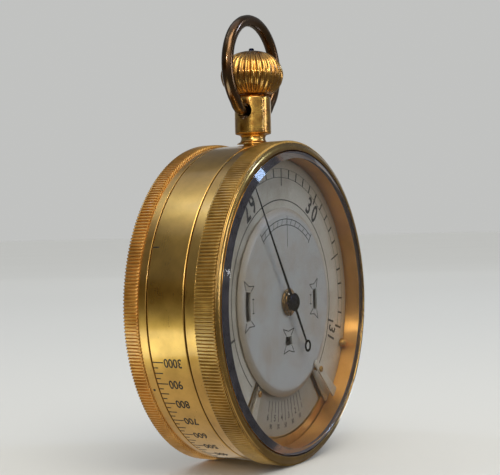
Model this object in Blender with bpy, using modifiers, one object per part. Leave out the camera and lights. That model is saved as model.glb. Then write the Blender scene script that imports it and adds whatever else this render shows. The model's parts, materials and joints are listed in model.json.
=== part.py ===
"""Ship barometer in pocket form: brass case, two knurled rings, silvered dial and aneroid movement.

Frame: metres, +Z up through the pendant, the dial faces -Y, +X to its right.
The origin is under the lowest point of the rim, in the middle of the thickness.
Sizes below are millimetres. A "depth" is measured back from the plane of the front lip.
A dial angle is in degrees, clockwise from the top as the dial is read.
"""
import math

import bmesh
import bpy

MM = 0.001

# ---- driving sizes (mm) ----
CASE_R = 30.0          # crests of the knurled rings, the widest turned edge
BAND_R = 29.5          # plain band between the two rings
RING_R = 29.45         # plain part of both rings
SPIGOT_R = 28.0        # seats that the rings turn on
TURN_GAP = 0.2         # running gap under both rings
REST_GAP = 0.15        # gap left between pieces that rest on each other

GLASS_FRONT = -1.3     # depths of the sections, front to back
LIP_FRONT = -0.75
GLASS_BACK = 0.7
RING_FRONT_END = 5.7
BAND_FRONT = 5.9
BAND_BACK = 13.3
RING_BACK_START = 13.5
REAR_RIM = 18.2
BACK_FACE = 18.3
MID_DEPTH = (GLASS_FRONT + BACK_FACE) / 2

WELL_R = 27.0          # inside of the front ring, round the dial
DIAL_R = 26.7
DIAL_FRONT = 3.9
DIAL_THICK = 0.4
FACE_R = 16.3          # raised centre plate
FOOT_R = 17.6
FACE_DEPTH = 3.0
PLATE_THICK = 0.35
DISC_FRONT = 4.6       # letter disc under the dial
DISC_THICK = 0.3
DISC_R = 17.0
BLADE_R = 24.9
BUSH_BORE_R = 0.8
BUSH_TUBE_R = 1.85
BUSH_HOLE_R = 2.05

OPENING = (141.0, 219.0)       # sector cut from the dial, in dial degrees
BLADE = (143.5, 213.4)         # fan on the letter disc
MOVING_ARM = ((17.3, 211.5), (24.8, 210.0))    # radius and dial degrees of each end
FIXED_ARM = ((15.7, 140.5), (26.3, 136.5))
MOVING_ARM_FRONT, FIXED_ARM_FRONT, ARM_THICK = 4.05, 2.5, 0.35
MOVING_SCREW = (18.7, 211.2)
FIXED_SCREW = (18.1, 139.2)
ARM_HALF_IN, ARM_HALF_OUT = 0.6, 1.05
WINDOW_SPAN = 20.0             # dial degrees seen through each window
WINDOWS = ((270.0, 14.9), (90.0, 11.1), (180.0, 7.3))
WINDOW_TALL = 1.65

DIAL_SCREW_R, DIAL_SCREW_AT = 25.75, 112.0     # radius, and dial degrees to each side
RIVET_AT = 16.2                # rivets between the letter disc and its ring
RIVET_ANGLES = (30.0, 150.0, 270.0)
BACK_SCREW_R = 20.0            # screws through the back cover
BACK_SCREW_ANGLES = (30.0, 150.0, 270.0)
ADJUSTER_X, ADJUSTER_Z = 0.0, 15.4

GEAR_TEETH = 72                # contrate ring behind the letter disc
PINION_TEETH = 9
GEAR_R = 22.0
GEAR_FACE = 1.7
PINION_R = GEAR_R * PINION_TEETH / GEAR_TEETH
PINION_TIP = PINION_R + 0.25
PINION_ROOT = PINION_R - 0.5
GEAR_ROOT_DEPTH = 5.4
GEAR_TIP_DEPTH = 6.0

PENDANT_R = 3.45               # heights below are above the case centre
PENDANT_TOP, PENDANT_FOOT = 38.7, 31.6
BOW_PIVOT = 35.9
BOW_HOLE_R = 1.5
BOW_R = 9.0
BOW_TOP = 53.05
BOW_WIRE_R = 1.15
BOW_PIN_R = 0.95
CROWN_R = 5.95
CROWN_BOTTOM, CROWN_TOP = 39.1, 47.35
STEM_R = 0.9
STEM_BORE_R = 1.25

HAND_ANGLE = -32.5             # where the hand stands at rest
HAND_TIP, HAND_TAIL = 24.9, 10.2
HAND_FRONT, HAND_THICK = 1.75, 0.2

BASE_FRONT, BASE_BACK, BASE_R = 15.4, 16.4, 24.5
CAPSULE_R = 11.5
CAPSULE_FRONT, CAPSULE_BACK = 12.4, 15.1
SPRING_AXIS_Z, SPRING_AXIS_DEPTH = 19.5, 12.4  # line about which the spring and lever tip
SPRING_FRONT, SPRING_FOOT, SPRING_THICK = 10.0, 14.75, 0.5
SPRING_HALF = 4.5
LEVER_THICK = 0.4
BRIDGE_FRONT, BRIDGE_THICK = 9.0, 0.5
PILLAR_X = 15.5
ROCKER_Z, ROCKER_DEPTH = -17.0, 12.6
CRANK = 1.7                    # length of the rocking shaft's crank
CRANK_Z = ROCKER_Z + CRANK
CHAIN_DEPTH = 7.52
CHAIN_X = -3.0
DRUM_R = 0.9

CENTRE = (0.0, 0.0, CASE_R * MM)

# ---- start from an empty scene ----
for old in list(bpy.data.objects):
    bpy.data.objects.remove(old, do_unlink=True)

parts = bpy.data.collections.new("ship_barometer")
cutters = bpy.data.collections.new("cutters")
bpy.context.scene.collection.children.link(parts)
bpy.context.scene.collection.children.link(cutters)


# ---- finishes ----
def finish(name, colour, metallic, roughness):
    """A Principled material with one colour."""
    material = bpy.data.materials.new(name)
    material.use_nodes = True
    shader = material.node_tree.nodes["Principled BSDF"]
    shader.inputs["Base Color"].default_value = (*colour, 1.0)
    shader.inputs["Metallic"].default_value = metallic
    shader.inputs["Roughness"].default_value = roughness
    return material


BRASS = finish("gilt_brass", (0.62, 0.42, 0.13), 1.0, 0.28)
INNER_BRASS = finish("movement_brass", (0.55, 0.38, 0.14), 1.0, 0.35)
BRONZE = finish("bronze", (0.10, 0.06, 0.03), 1.0, 0.3)
SILVERED = finish("silvered_brass", (0.42, 0.41, 0.38), 0.3, 0.5)
BLUED = finish("blued_steel", (0.01, 0.012, 0.03), 1.0, 0.25)
STEEL = finish("steel", (0.45, 0.45, 0.46), 1.0, 0.3)
NICKEL = finish("nickel_silver", (0.5, 0.5, 0.46), 1.0, 0.3)
GLASS = finish("glass", (0.9, 0.95, 0.95), 0.0, 0.02)
GLASS.node_tree.nodes["Principled BSDF"].inputs["Transmission Weight"].default_value = 1.0


# ---- helpers ----
def depth_to_y(depth):
    """World Y, in metres, of a depth behind the lip."""
    return (depth - MID_DEPTH) * MM


def dial_point(radius, angle):
    """(x, z) in mm from the dial's centre at a dial angle in degrees."""
    turn = math.radians(angle)
    return (radius * math.sin(turn), radius * math.cos(turn))


def arc(radius, start, end, steps):
    """Dial points along an arc from one dial angle to another, ends included."""
    return [dial_point(radius, start + (end - start) * i / steps) for i in range(steps + 1)]


def circle(radius, steps, x=0.0, z=0.0):
    """A closed ring of points about (x, z)."""
    turns = [math.tau * i / steps for i in range(steps)]
    return [(x + radius * math.cos(t), z + radius * math.sin(t)) for t in turns]


def keep(obj, material, collection=parts):
    """Puts a new object in its collection with its material."""
    collection.objects.link(obj)
    if material is not None:
        obj.data.materials.append(material)
    return obj


def turned(name, outline, segments, material, closed=False, collection=parts):
    """A turned piece about its local Z. The outline is (radius, height) in mm, down the outer side."""
    mesh = bpy.data.meshes.new(name)
    points = [(r * MM, 0.0, h * MM) for r, h in outline]
    edges = [(i, i + 1) for i in range(len(points) - 1)]
    if closed:
        edges.append((len(points) - 1, 0))
    mesh.from_pydata(points, edges, [])
    obj = keep(bpy.data.objects.new(name, mesh), material, collection)
    screw = obj.modifiers.new("turn", "SCREW")
    screw.axis = "Z"
    screw.steps = segments
    screw.render_steps = segments
    screw.use_merge_vertices = True
    screw.merge_threshold = 0.00001
    screw.use_smooth_shade = True
    return obj


def dial_turned(name, outline, segments, material, closed=False, x=0.0, z=0.0, collection=parts):
    """A piece turned about an axis square to the dial; the outline is (radius, depth)."""
    heights = [(r, MID_DEPTH - d) for r, d in outline]
    obj = turned(name, heights, segments, material, closed, collection)
    obj.rotation_euler = (math.pi / 2, 0.0, 0.0)
    obj.location = (x * MM, 0.0, CENTRE[2] + z * MM)
    return obj


def dial_rod(name, radius, front, back, segments, material, x=0.0, z=0.0, collection=parts):
    """A plain round rod square to the dial."""
    outline = [(0, front), (radius, front), (radius, back), (0, back)]
    return dial_turned(name, outline, segments, material, x=x, z=z, collection=collection)


def mesh_of(curve_object, name, material, collection=parts):
    """Replaces a curve object by the closed mesh it draws."""
    bpy.context.scene.collection.objects.link(curve_object)
    bpy.context.view_layer.update()
    graph = bpy.context.evaluated_depsgraph_get()
    mesh = bpy.data.meshes.new_from_object(curve_object.evaluated_get(graph))
    mesh.name = name
    mesh.materials.clear()
    place = curve_object.matrix_world.copy()
    bpy.data.objects.remove(curve_object, do_unlink=True)
    shape = bmesh.new()
    shape.from_mesh(mesh)
    bmesh.ops.remove_doubles(shape, verts=shape.verts, dist=0.000002)
    bmesh.ops.recalc_face_normals(shape, faces=shape.faces)
    shape.to_mesh(mesh)
    shape.free()
    obj = keep(bpy.data.objects.new(name, mesh), material, collection)
    obj.matrix_world = place
    return obj


def extruded(name, loops, low, high, material, turn, place, collection=parts):
    """Closed loops of local (x, y) in mm, filled and extruded from low to high along local Z."""
    curve = bpy.data.curves.new(name, "CURVE")
    curve.dimensions = "2D"
    curve.fill_mode = "BOTH"
    curve.extrude = (high - low) / 2 * MM
    curve.resolution_u = 1
    for loop in loops:
        spline = curve.splines.new("POLY")
        spline.points.add(len(loop) - 1)
        for point, (x, y) in zip(spline.points, loop):
            point.co = (x * MM, y * MM, 0.0, 1.0)
        spline.use_cyclic_u = True
    obj = bpy.data.objects.new(name, curve)
    obj.rotation_euler = turn
    obj.location = place
    made = mesh_of(obj, name, material, collection)
    for vertex in made.data.vertices:
        vertex.co.z += (high + low) / 2 * MM
    return made


def dial_plate(name, loops, front, back, material, collection=parts):
    """A flat plate parallel to the dial; loops are (x, z) from the dial's centre."""
    low, high = MID_DEPTH - back, MID_DEPTH - front
    return extruded(name, loops, low, high, material, (math.pi / 2, 0.0, 0.0), CENTRE, collection)


def side_plate(name, loops, x_low, x_high, material, z_axis=0.0, depth_axis=MID_DEPTH):
    """A shape seen from the side: (depth, z) loops extruded across X, with its origin on an X axis."""
    local = [[(d - depth_axis, z - z_axis) for d, z in loop] for loop in loops]
    place = (0.0, depth_to_y(depth_axis), CENTRE[2] + z_axis * MM)
    return extruded(name, local, x_low, x_high, material, (math.pi / 2, 0.0, math.pi / 2), place)


def bent_wire(name, points, radius, material, place, sides=2):
    """A round wire along local points in mm; each point is (x, y, z, thickness share)."""
    curve = bpy.data.curves.new(name, "CURVE")
    curve.dimensions = "3D"
    curve.bevel_depth = radius * MM
    curve.bevel_resolution = sides
    curve.use_fill_caps = True
    spline = curve.splines.new("POLY")
    spline.points.add(len(points) - 1)
    for point, (x, y, z, share) in zip(spline.points, points):
        point.co = (x * MM, y * MM, z * MM, 1.0)
        point.radius = share
    obj = bpy.data.objects.new(name, curve)
    obj.location = place
    return mesh_of(obj, name, material)


def hide_cutter(cutter):
    """Marks a cutter so that it neither shows nor renders."""
    cutter.hide_render = True
    cutter.display_type = "WIRE"


def cut(target, *tools):
    """Takes each tool away from the target with an exact Boolean."""
    for tool in tools:
        hide_cutter(tool)
        boolean = target.modifiers.new("cut_" + tool.name, "BOOLEAN")
        boolean.operation = "DIFFERENCE"
        boolean.solver = "EXACT"
        boolean.object = tool


def join(target, *others):
    """Welds other solids to the target with an exact Boolean union."""
    for other in others:
        hide_cutter(other)
        boolean = target.modifiers.new("join_" + other.name, "BOOLEAN")
        boolean.operation = "UNION"
        boolean.solver = "EXACT"
        boolean.object = other


def one_cutter(name, pieces):
    """Gathers separate cutters into one object."""
    bpy.context.view_layer.update()
    graph = bpy.context.evaluated_depsgraph_get()
    whole = bmesh.new()
    for piece in pieces:
        mesh = bpy.data.meshes.new_from_object(piece.evaluated_get(graph))
        mesh.transform(piece.matrix_world)
        whole.from_mesh(mesh)
        bpy.data.meshes.remove(mesh)
    for piece in pieces:
        bpy.data.objects.remove(piece, do_unlink=True)
    mesh = bpy.data.meshes.new(name)
    whole.to_mesh(mesh)
    whole.free()
    return keep(bpy.data.objects.new(name, mesh), None, cutters)


# ---- case ----
def case_band():
    """Plain band with a spigot at each end, a shelf for the dial and the hole for the pendant."""
    outline = [
        (25.2, 4.45), (SPIGOT_R, 4.45), (SPIGOT_R, BAND_FRONT), (BAND_R, BAND_FRONT),
        (BAND_R, BAND_BACK), (SPIGOT_R, BAND_BACK), (SPIGOT_R, 15.0), (27.2, 15.0),
        (27.2, 5.1), (25.2, 5.1),
    ]
    band = dial_turned("case_band", outline, 72, BRASS, closed=True)
    hole = turned("pendant_hole", [(0, 32), (2.1, 32), (2.1, 24), (0, 24)], 24, None, collection=cutters)
    hole.location = CENTRE
    cut(band, hole)


def front_bezel():
    """Front ring: a lip that slopes up to the glass, a groove, the knurled grip and a plain skirt."""
    outline = [
        (28.2, LIP_FRONT), (28.85, LIP_FRONT), (29.35, -0.45), (29.35, -0.25), (29.75, -0.15),
        (CASE_R, 0.1), (CASE_R, 3.4), (RING_R, 3.7), (RING_R, RING_FRONT_END),
        (SPIGOT_R + TURN_GAP, RING_FRONT_END), (SPIGOT_R + TURN_GAP, 4.3),
        (WELL_R, 4.3), (WELL_R, 0.9), (28.2, 0.9),
    ]
    dial_turned("front_bezel", outline, 72, BRASS, closed=True)


def glass():
    """Thick flat glass with a broad bevel that stands proud of the lip."""
    outline = [(0, GLASS_FRONT), (26.2, GLASS_FRONT), (28.0, -0.65), (28.0, GLASS_BACK), (0, GLASS_BACK)]
    dial_turned("glass", outline, 72, GLASS)


def rear_bezel():
    """Rear ring: plain skirt, knurled grip and an inner flange."""
    inner = SPIGOT_R + TURN_GAP
    outline = [
        (inner, RING_BACK_START), (RING_R, RING_BACK_START), (RING_R, 15.15), (CASE_R, 15.4),
        (CASE_R, 17.85), (29.45, REAR_RIM), (27.2, REAR_RIM), (27.2, 17.0), (26.0, 17.0),
        (26.0, 15.3), (inner, 15.3),
    ]
    dial_turned("rear_bezel", outline, 72, BRASS, closed=True)


def back_cover():
    """Flat back with three countersunk screws and a hole for the adjusting screw."""
    outline = [(0, 17.15), (27.0, 17.15), (27.0, 18.1), (26.8, BACK_FACE), (0, BACK_FACE)]
    cover = dial_turned("back_cover", outline, 72, BRASS)
    sink = [(0, 16.5), (0.85, 16.5), (0.85, 17.6), (1.75, 18.4), (0, 18.4)]
    for angle in BACK_SCREW_ANGLES:
        x, z = dial_point(BACK_SCREW_R, angle)
        hole = dial_turned("sink_%d" % angle, sink, 16, None, x=x, z=z, collection=cutters)
        cut(cover, hole)
    cut(cover, dial_rod("adjuster_hole", 1.1, 16.5, 18.6, 16, None, ADJUSTER_X, ADJUSTER_Z, cutters))


def back_screws():
    """Three countersunk screws that hold the movement to the back."""
    outline = [(0, 15.7), (0.6, 15.7), (0.6, 17.55), (1.35, 18.2), (0, 18.2)]
    for i, angle in enumerate(BACK_SCREW_ANGLES):
        x, z = dial_point(BACK_SCREW_R, angle)
        dial_turned("back_screw_%d" % (i + 1), outline, 16, STEEL, x=x, z=z)


# ---- pendant, bow and crown ----
def pendant():
    """Turned post on the band, bored for the stem and cross-drilled for the bow."""
    outline = [
        (STEM_BORE_R, PENDANT_TOP), (3.15, PENDANT_TOP), (PENDANT_R, 38.4), (PENDANT_R, 31.9),
        (3.15, PENDANT_FOOT), (2.45, 31.45), (2.3, 30.9), (2.45, 30.3), (3.1, 29.75),
        (1.9, 29.75), (1.9, 27.0), (STEM_BORE_R, 27.0),
    ]
    post = turned("pendant", outline, 24, BRASS, closed=True)
    post.location = CENTRE
    drill = turned("bow_holes", [(0, 5), (BOW_HOLE_R, 5), (BOW_HOLE_R, -5), (0, -5)], 20, None,
                   collection=cutters)
    drill.rotation_euler = (0.0, math.pi / 2, 0.0)
    drill.location = (0.0, 0.0, CENTRE[2] + BOW_PIVOT * MM)
    cut(post, drill)


def bow():
    """Round wire bow: a near circle whose ends turn in to the pivot pins."""
    middle = BOW_TOP - BOW_R - BOW_PIVOT
    pin_share = BOW_PIN_R / BOW_WIRE_R
    side = [(1.9, 0.0, 0.0, pin_share), (4.4, 0.0, 0.0, 0.9), (5.6, 0.0, 0.75, 1.0)]
    steps = 18
    for i in range(steps + 1):
        turn = math.radians(45.0 + (360.0 - 90.0) * i / steps)
        side.append((BOW_R * math.sin(turn), 0.0, middle - BOW_R * math.cos(turn), 1.0))
    side += [(-5.6, 0.0, 0.75, 1.0), (-4.4, 0.0, 0.0, 0.9), (-1.9, 0.0, 0.0, pin_share)]
    bent_wire("bow", side, BOW_WIRE_R, BRONZE, (0.0, 0.0, CENTRE[2] + BOW_PIVOT * MM), sides=3)


def crown():
    """Onion-shaped crown, bored from below for the stem that is riveted through its top."""
    outline = [
        (0.75, CROWN_TOP), (2.0, 47.25), (3.6, 46.6), (4.85, 45.5), (5.65, 44.1), (CROWN_R, 42.9),
        (5.75, 41.6), (5.1, 40.4), (4.3, 39.4), (3.5, CROWN_BOTTOM), (1.15, CROWN_BOTTOM),
        (1.15, 45.3), (0.75, 45.3),
    ]
    turned("crown", outline, 32, BRASS, closed=True).location = CENTRE


def crown_stem():
    """Steel stem from the crown's top to the pinion inside the case."""
    outline = [(0, 47.9), (0.5, 47.9), (0.5, 45.1), (STEM_R, 45.1), (STEM_R, 20.7), (0, 20.7)]
    turned("crown_stem", outline, 16, STEEL).location = CENTRE


def stem_collar():
    """Collar inside the band that keeps the stem in the pendant."""
    outline = [(1.1, 26.6), (1.9, 26.6), (1.9, 25.8), (1.1, 25.8)]
    turned("stem_collar", outline, 16, STEEL, closed=True).location = CENTRE


def gear_loop(teeth, root, tip, base_share, tip_share):
    """Outline of a spur gear with a tooth centred on local +Y."""
    loop = []
    for i in range(teeth):
        middle = math.tau * i / teeth + math.pi / 2
        for radius, share in ((root, -base_share), (tip, -tip_share), (tip, tip_share), (root, base_share)):
            turn = middle + share * math.pi / teeth
            loop.append((radius * math.cos(turn), radius * math.sin(turn)))
    return loop


def crown_pinion():
    """Pinion on the stem's lower end, in mesh with the contrate ring."""
    teeth = gear_loop(PINION_TEETH, PINION_ROOT, PINION_TIP, 0.5, 0.22)
    front_tooth = [(x, -y) for x, y in teeth]
    loops = [front_tooth, circle(1.05, 16)]
    low = GEAR_R - GEAR_FACE / 2
    extruded("crown_pinion", loops, low, low + GEAR_FACE, STEEL, (0.0, 0.0, 0.0), CENTRE)


# ---- dial ----


def scale_plate():
    """Silvered ring that carries the scale, open at the bottom over the fan."""
    start, end = OPENING
    loop = arc(DIAL_R, end - 360.0, start, 60) + arc(16.9, start, end - 360.0, 40)
    holes = [circle(0.5, 12, *dial_point(DIAL_SCREW_R, angle)) for angle in (DIAL_SCREW_AT, -DIAL_SCREW_AT)]
    dial_plate("scale_plate", [loop] + holes, DIAL_FRONT, DIAL_FRONT + DIAL_THICK, SILVERED)


def centre_plate():
    """Raised centre of the dial with a sloping edge and three windows."""
    inner_back = FACE_DEPTH + PLATE_THICK
    foot = DIAL_FRONT - 0.2
    outline = [
        (BUSH_HOLE_R, FACE_DEPTH), (FACE_R, FACE_DEPTH), (FOOT_R, foot - 0.1), (FOOT_R, foot),
        (FOOT_R - 0.45, foot), (FACE_R - 0.2, inner_back), (BUSH_HOLE_R, inner_back),
    ]
    plate = dial_turned("centre_plate", outline, 64, SILVERED, closed=True)
    for angle, radius in WINDOWS:
        half = WINDOW_TALL / 2
        start, end = angle - WINDOW_SPAN / 2, angle + WINDOW_SPAN / 2
        loop = arc(radius + half, start, end, 7) + arc(radius - half, end, start, 7)
        window = dial_plate("window_%d" % angle, [loop], 2.5, 4.2, None, cutters)
        cut(plate, window)


def centre_bush():
    """Stepped brass bush: carries the letter disc and guards the hand's arbor."""
    outline = [
        (BUSH_BORE_R, 2.25), (1.7, 2.25), (1.9, 2.4), (1.9, 2.5), (2.6, 2.6), (2.6, 2.85),
        (BUSH_TUBE_R, 2.85), (BUSH_TUBE_R, 5.8), (BUSH_BORE_R, 5.8),
    ]
    dial_turned("centre_bush", outline, 32, INNER_BRASS, closed=True)


def bush_nut():
    """Six-sided nut behind the letter disc."""
    dial_plate("bush_nut", [circle(3.3, 6), circle(BUSH_HOLE_R, 24)], 5.05, 5.6, INNER_BRASS)


def letter_disc():
    """Thin silvered disc behind the windows, with a fan that shows in the opening."""
    start, end = BLADE
    loop = arc(BLADE_R, start, end, 20) + arc(DISC_R, end, start + 360.0, 50)
    dial_plate("letter_disc", [loop, circle(BUSH_HOLE_R, 24)], DISC_FRONT, DISC_FRONT + DISC_THICK, SILVERED)


def contrate_ring():
    """Brass ring behind the letter disc with teeth that face back to the crown's pinion."""
    low, high = GEAR_R - GEAR_FACE / 2, GEAR_R + GEAR_FACE / 2
    front = DISC_FRONT + DISC_THICK + 0.1
    outline = [
        (15.4, front), (high, front), (high, GEAR_TIP_DEPTH), (low, GEAR_TIP_DEPTH),
        (low, GEAR_ROOT_DEPTH), (15.4, GEAR_ROOT_DEPTH),
    ]
    ring = dial_turned("contrate_ring", outline, GEAR_TEETH, INNER_BRASS, closed=True)
    slots = []
    for i in range(GEAR_TEETH):
        middle = 360.0 * i / GEAR_TEETH
        half = 0.58 * 180.0 / GEAR_TEETH
        loop = [dial_point(low - 0.2, middle - half), dial_point(high + 0.2, middle - half),
                dial_point(high + 0.2, middle + half), dial_point(low - 0.2, middle + half)]
        slots.append(dial_plate("gap_%d" % i, [loop], GEAR_ROOT_DEPTH, GEAR_TIP_DEPTH + 1.0, None, cutters))
    for i, angle in enumerate(RIVET_ANGLES):
        x, z = dial_point(RIVET_AT, angle)
        slots.append(dial_rod("rivet_hole_%d" % i, 0.4, 4.0, 7.0, 12, None, x, z, cutters))
    cut(ring, one_cutter("tooth_gaps", slots))


def disc_rivets():
    """Three rivets that join the contrate ring to the letter disc."""
    outline = [(0, 4.95), (0.25, 4.95), (0.25, 5.45), (0.6, 5.5), (0.45, 5.75), (0, 5.75)]
    for i, angle in enumerate(RIVET_ANGLES):
        x, z = dial_point(RIVET_AT, angle)
        dial_turned("disc_rivet_%d" % (i + 1), outline, 12, INNER_BRASS, x=x, z=z)


def arm_loop(ends):
    """Outline of a tapered arm between two dial points, with a rounded inner end."""
    (in_x, in_z), (out_x, out_z) = (dial_point(r, a) for r, a in ends)
    length = math.hypot(out_x - in_x, out_z - in_z)
    along_x, along_z = (out_x - in_x) / length, (out_z - in_z) / length
    loop = []
    for along, across in ((0.0, -0.5), (0.35, -1.0), (length, -1.0), (length, 1.0), (0.35, 1.0), (0.0, 0.5)):
        half = (ARM_HALF_IN + (ARM_HALF_OUT - ARM_HALF_IN) * along / length) * across
        loop.append((in_x + along_x * along - along_z * half, in_z + along_z * along + along_x * half))
    return loop


def sector_arms():
    """Two silvered arms: one on the fan, one on the dial at the right edge of the opening."""
    for name, ends, screw, front in (
        ("moving_arm", MOVING_ARM, MOVING_SCREW, MOVING_ARM_FRONT),
        ("fixed_arm", FIXED_ARM, FIXED_SCREW, FIXED_ARM_FRONT),
    ):
        hole = circle(0.45, 12, *dial_point(*screw))
        dial_plate(name, [arm_loop(ends), hole], front, front + ARM_THICK, SILVERED)


def arm_screws():
    """Small screws at the inner ends of the two arms."""
    for name, screw, face, end in (
        ("moving_arm_screw", MOVING_SCREW, MOVING_ARM_FRONT, DISC_FRONT - REST_GAP),
        ("fixed_arm_screw", FIXED_SCREW, FIXED_ARM_FRONT, DIAL_FRONT - REST_GAP),
    ):
        x, z = dial_point(*screw)
        outline = [
            (0, face - 0.4), (0.55, face - 0.35), (0.6, face - 0.1), (0.3, face - 0.1), (0.3, end), (0, end),
        ]
        dial_turned(name, outline, 16, INNER_BRASS, x=x, z=z)


def dial_screws():
    """Two round-headed screws that hold the scale plate to the case shelf."""
    outline = [(0, 2.6), (0.5, 2.7), (0.85, 3.0), (0.85, 3.75), (0.35, 3.75), (0.35, 4.2), (0, 4.2)]
    for side, angle in (("right", DIAL_SCREW_AT), ("left", -DIAL_SCREW_AT)):
        x, z = dial_point(DIAL_SCREW_R, angle)
        dial_turned("dial_screw_" + side, outline, 16, INNER_BRASS, x=x, z=z)


# ---- hand ----
def hand():
    """Slim blued pointer with a ring at its tail, in line with the rest angle."""
    ahead_x, ahead_z = dial_point(1.0, HAND_ANGLE)
    side_x, side_z = dial_point(1.0, HAND_ANGLE + 90.0)

    def place(along, across):
        return (ahead_x * along + side_x * across, ahead_z * along + side_z * across)

    ring_r = 1.15
    blade = [(HAND_TIP, 0.05), (12.0, 0.16), (1.4, 0.28)]
    boss = []
    for i in range(5):
        turn = math.radians(28.0 + 31.0 * i)
        boss.append((1.35 * math.cos(turn), 1.35 * math.sin(turn)))
    tail = [(-1.4, 0.28), (-HAND_TAIL + ring_r - 0.02, 0.16)]
    end = []
    for i in range(9):
        turn = math.radians(12.0 + 21.0 * i)
        end.append((-HAND_TAIL + ring_r * math.cos(turn), ring_r * math.sin(turn)))
    half = blade + boss + tail + end
    outline = [place(a, s) for a, s in half] + [place(a, -s) for a, s in reversed(half) if s > 0.001]
    centre_x, centre_z = place(-HAND_TAIL, 0.0)
    loops = [outline, circle(0.62, 16), circle(0.72, 14, centre_x, centre_z)]
    dial_plate("hand", loops, HAND_FRONT, HAND_FRONT + HAND_THICK, BLUED)


def hand_collet():
    """Domed collet that grips the arbor and carries the hand."""
    outline = [(0, 1.0), (0.9, 1.05), (1.45, 1.25), (1.7, 1.5), (1.7, 1.65), (0, 1.65)]
    dial_turned("hand_collet", outline, 24, BLUED)


def hand_arbor():
    """Steel arbor from the collet back to its pivot in the bridge."""
    shoulder = BRIDGE_FRONT - REST_GAP
    outline = [(0, 1.8), (0.45, 1.8), (0.45, shoulder), (0.25, shoulder), (0.25, 9.45), (0, 9.45)]
    dial_turned("hand_arbor", outline, 16, STEEL)


# ---- movement ----
def movement_base():
    """Round brass plate that the movement stands on."""
    holes = [circle(0.85, 12, *dial_point(BACK_SCREW_R, a)) for a in BACK_SCREW_ANGLES]
    holes.append(circle(0.95, 12, ADJUSTER_X, ADJUSTER_Z))
    holes.append(circle(1.7, 16))
    dial_plate("movement_base", [circle(BASE_R, 56)] + holes, BASE_FRONT, BASE_BACK, INNER_BRASS)


def aneroid_capsule():
    """Sealed corrugated capsule with a threaded foot through the base."""
    outline = [(0, CAPSULE_FRONT)]
    rings = 4
    for i in range(rings):
        start = 2.2 + (CAPSULE_R - 3.2) * i / rings
        end = 2.2 + (CAPSULE_R - 3.2) * (i + 0.5) / rings
        outline += [(start, CAPSULE_FRONT + 0.05), (end, CAPSULE_FRONT + 0.35)]
    outline += [(CAPSULE_R - 0.8, CAPSULE_FRONT + 0.3), (CAPSULE_R, CAPSULE_FRONT + 1.2),
                (CAPSULE_R, CAPSULE_BACK - 1.0), (CAPSULE_R - 0.8, CAPSULE_BACK), (1.4, CAPSULE_BACK),
                (1.4, 16.2), (0, 16.2)]
    dial_turned("aneroid_capsule", outline, 40, NICKEL)


def capsule_stud():
    """Stud between the knife edge and the middle of the capsule."""
    outline = [(0, 11.3), (0.8, 11.3), (0.8, 11.45), (1.3, 11.55), (1.3, 11.75), (0, 11.75)]
    dial_turned("capsule_stud", outline, 16, STEEL)


def mainspring():
    """Strong C-shaped leaf spring that holds the capsule open, seen from the side."""
    bend_z = 17.0
    middle = (SPRING_FRONT + SPRING_FOOT) / 2
    outer_r = middle - SPRING_FRONT
    inner_r = outer_r - SPRING_THICK
    outside, inside = [], []
    for i in range(9):
        turn = math.radians(180.0 * i / 8)
        drop, reach = -math.cos(turn), 0.75 * math.sin(turn)
        outside.append((middle + outer_r * drop, bend_z + outer_r * reach))
        inside.append((middle + inner_r * drop, bend_z + inner_r * reach))
    loop = [(SPRING_FRONT, -1.6)] + outside
    loop += [(SPRING_FOOT, 14.2), (SPRING_FOOT - SPRING_THICK, 14.2)]
    loop += inside[::-1] + [(SPRING_FRONT + SPRING_THICK, -1.6)]
    side_plate("mainspring", [loop], -SPRING_HALF, SPRING_HALF, STEEL, SPRING_AXIS_Z, SPRING_AXIS_DEPTH)


def spring_packing():
    """Packing plate between the spring's foot and the base, bored for the adjusting screw."""
    rim = [(-4.6, 14.0), (4.6, 14.0), (4.6, 16.8), (-4.6, 16.8)]
    hole = circle(0.95, 12, ADJUSTER_X, ADJUSTER_Z)
    front = SPRING_FOOT + 0.2
    dial_plate("spring_packing", [rim, hole], front, BASE_FRONT - REST_GAP, INNER_BRASS)


def knife_edge():
    """Bar behind the spring's tip that bears on the stud."""
    front = SPRING_FRONT + SPRING_THICK + REST_GAP
    loop = [(front, -0.8), (front, 0.8), (11.15, 0.1), (11.15, -0.1)]
    side_plate("knife_edge", [loop], -2.2, 2.2, STEEL)


def main_lever():
    """Brass lever from the spring's tip to the connecting link."""
    end = CRANK_Z - 0.9
    loops = [[(-1.5, -1.9), (1.5, -1.9), (0.7, end), (-0.7, end)], circle(0.4, 10, 0.0, CRANK_Z)]
    dial_plate("main_lever", loops, SPRING_FRONT, SPRING_FRONT + LEVER_THICK, INNER_BRASS)


def connecting_link():
    """Short pin from the lever's end to the rocking shaft's crank."""
    dial_rod("connecting_link", 0.25, SPRING_FRONT - 0.2, ROCKER_DEPTH - 0.45, 10, STEEL, z=CRANK_Z)


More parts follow.
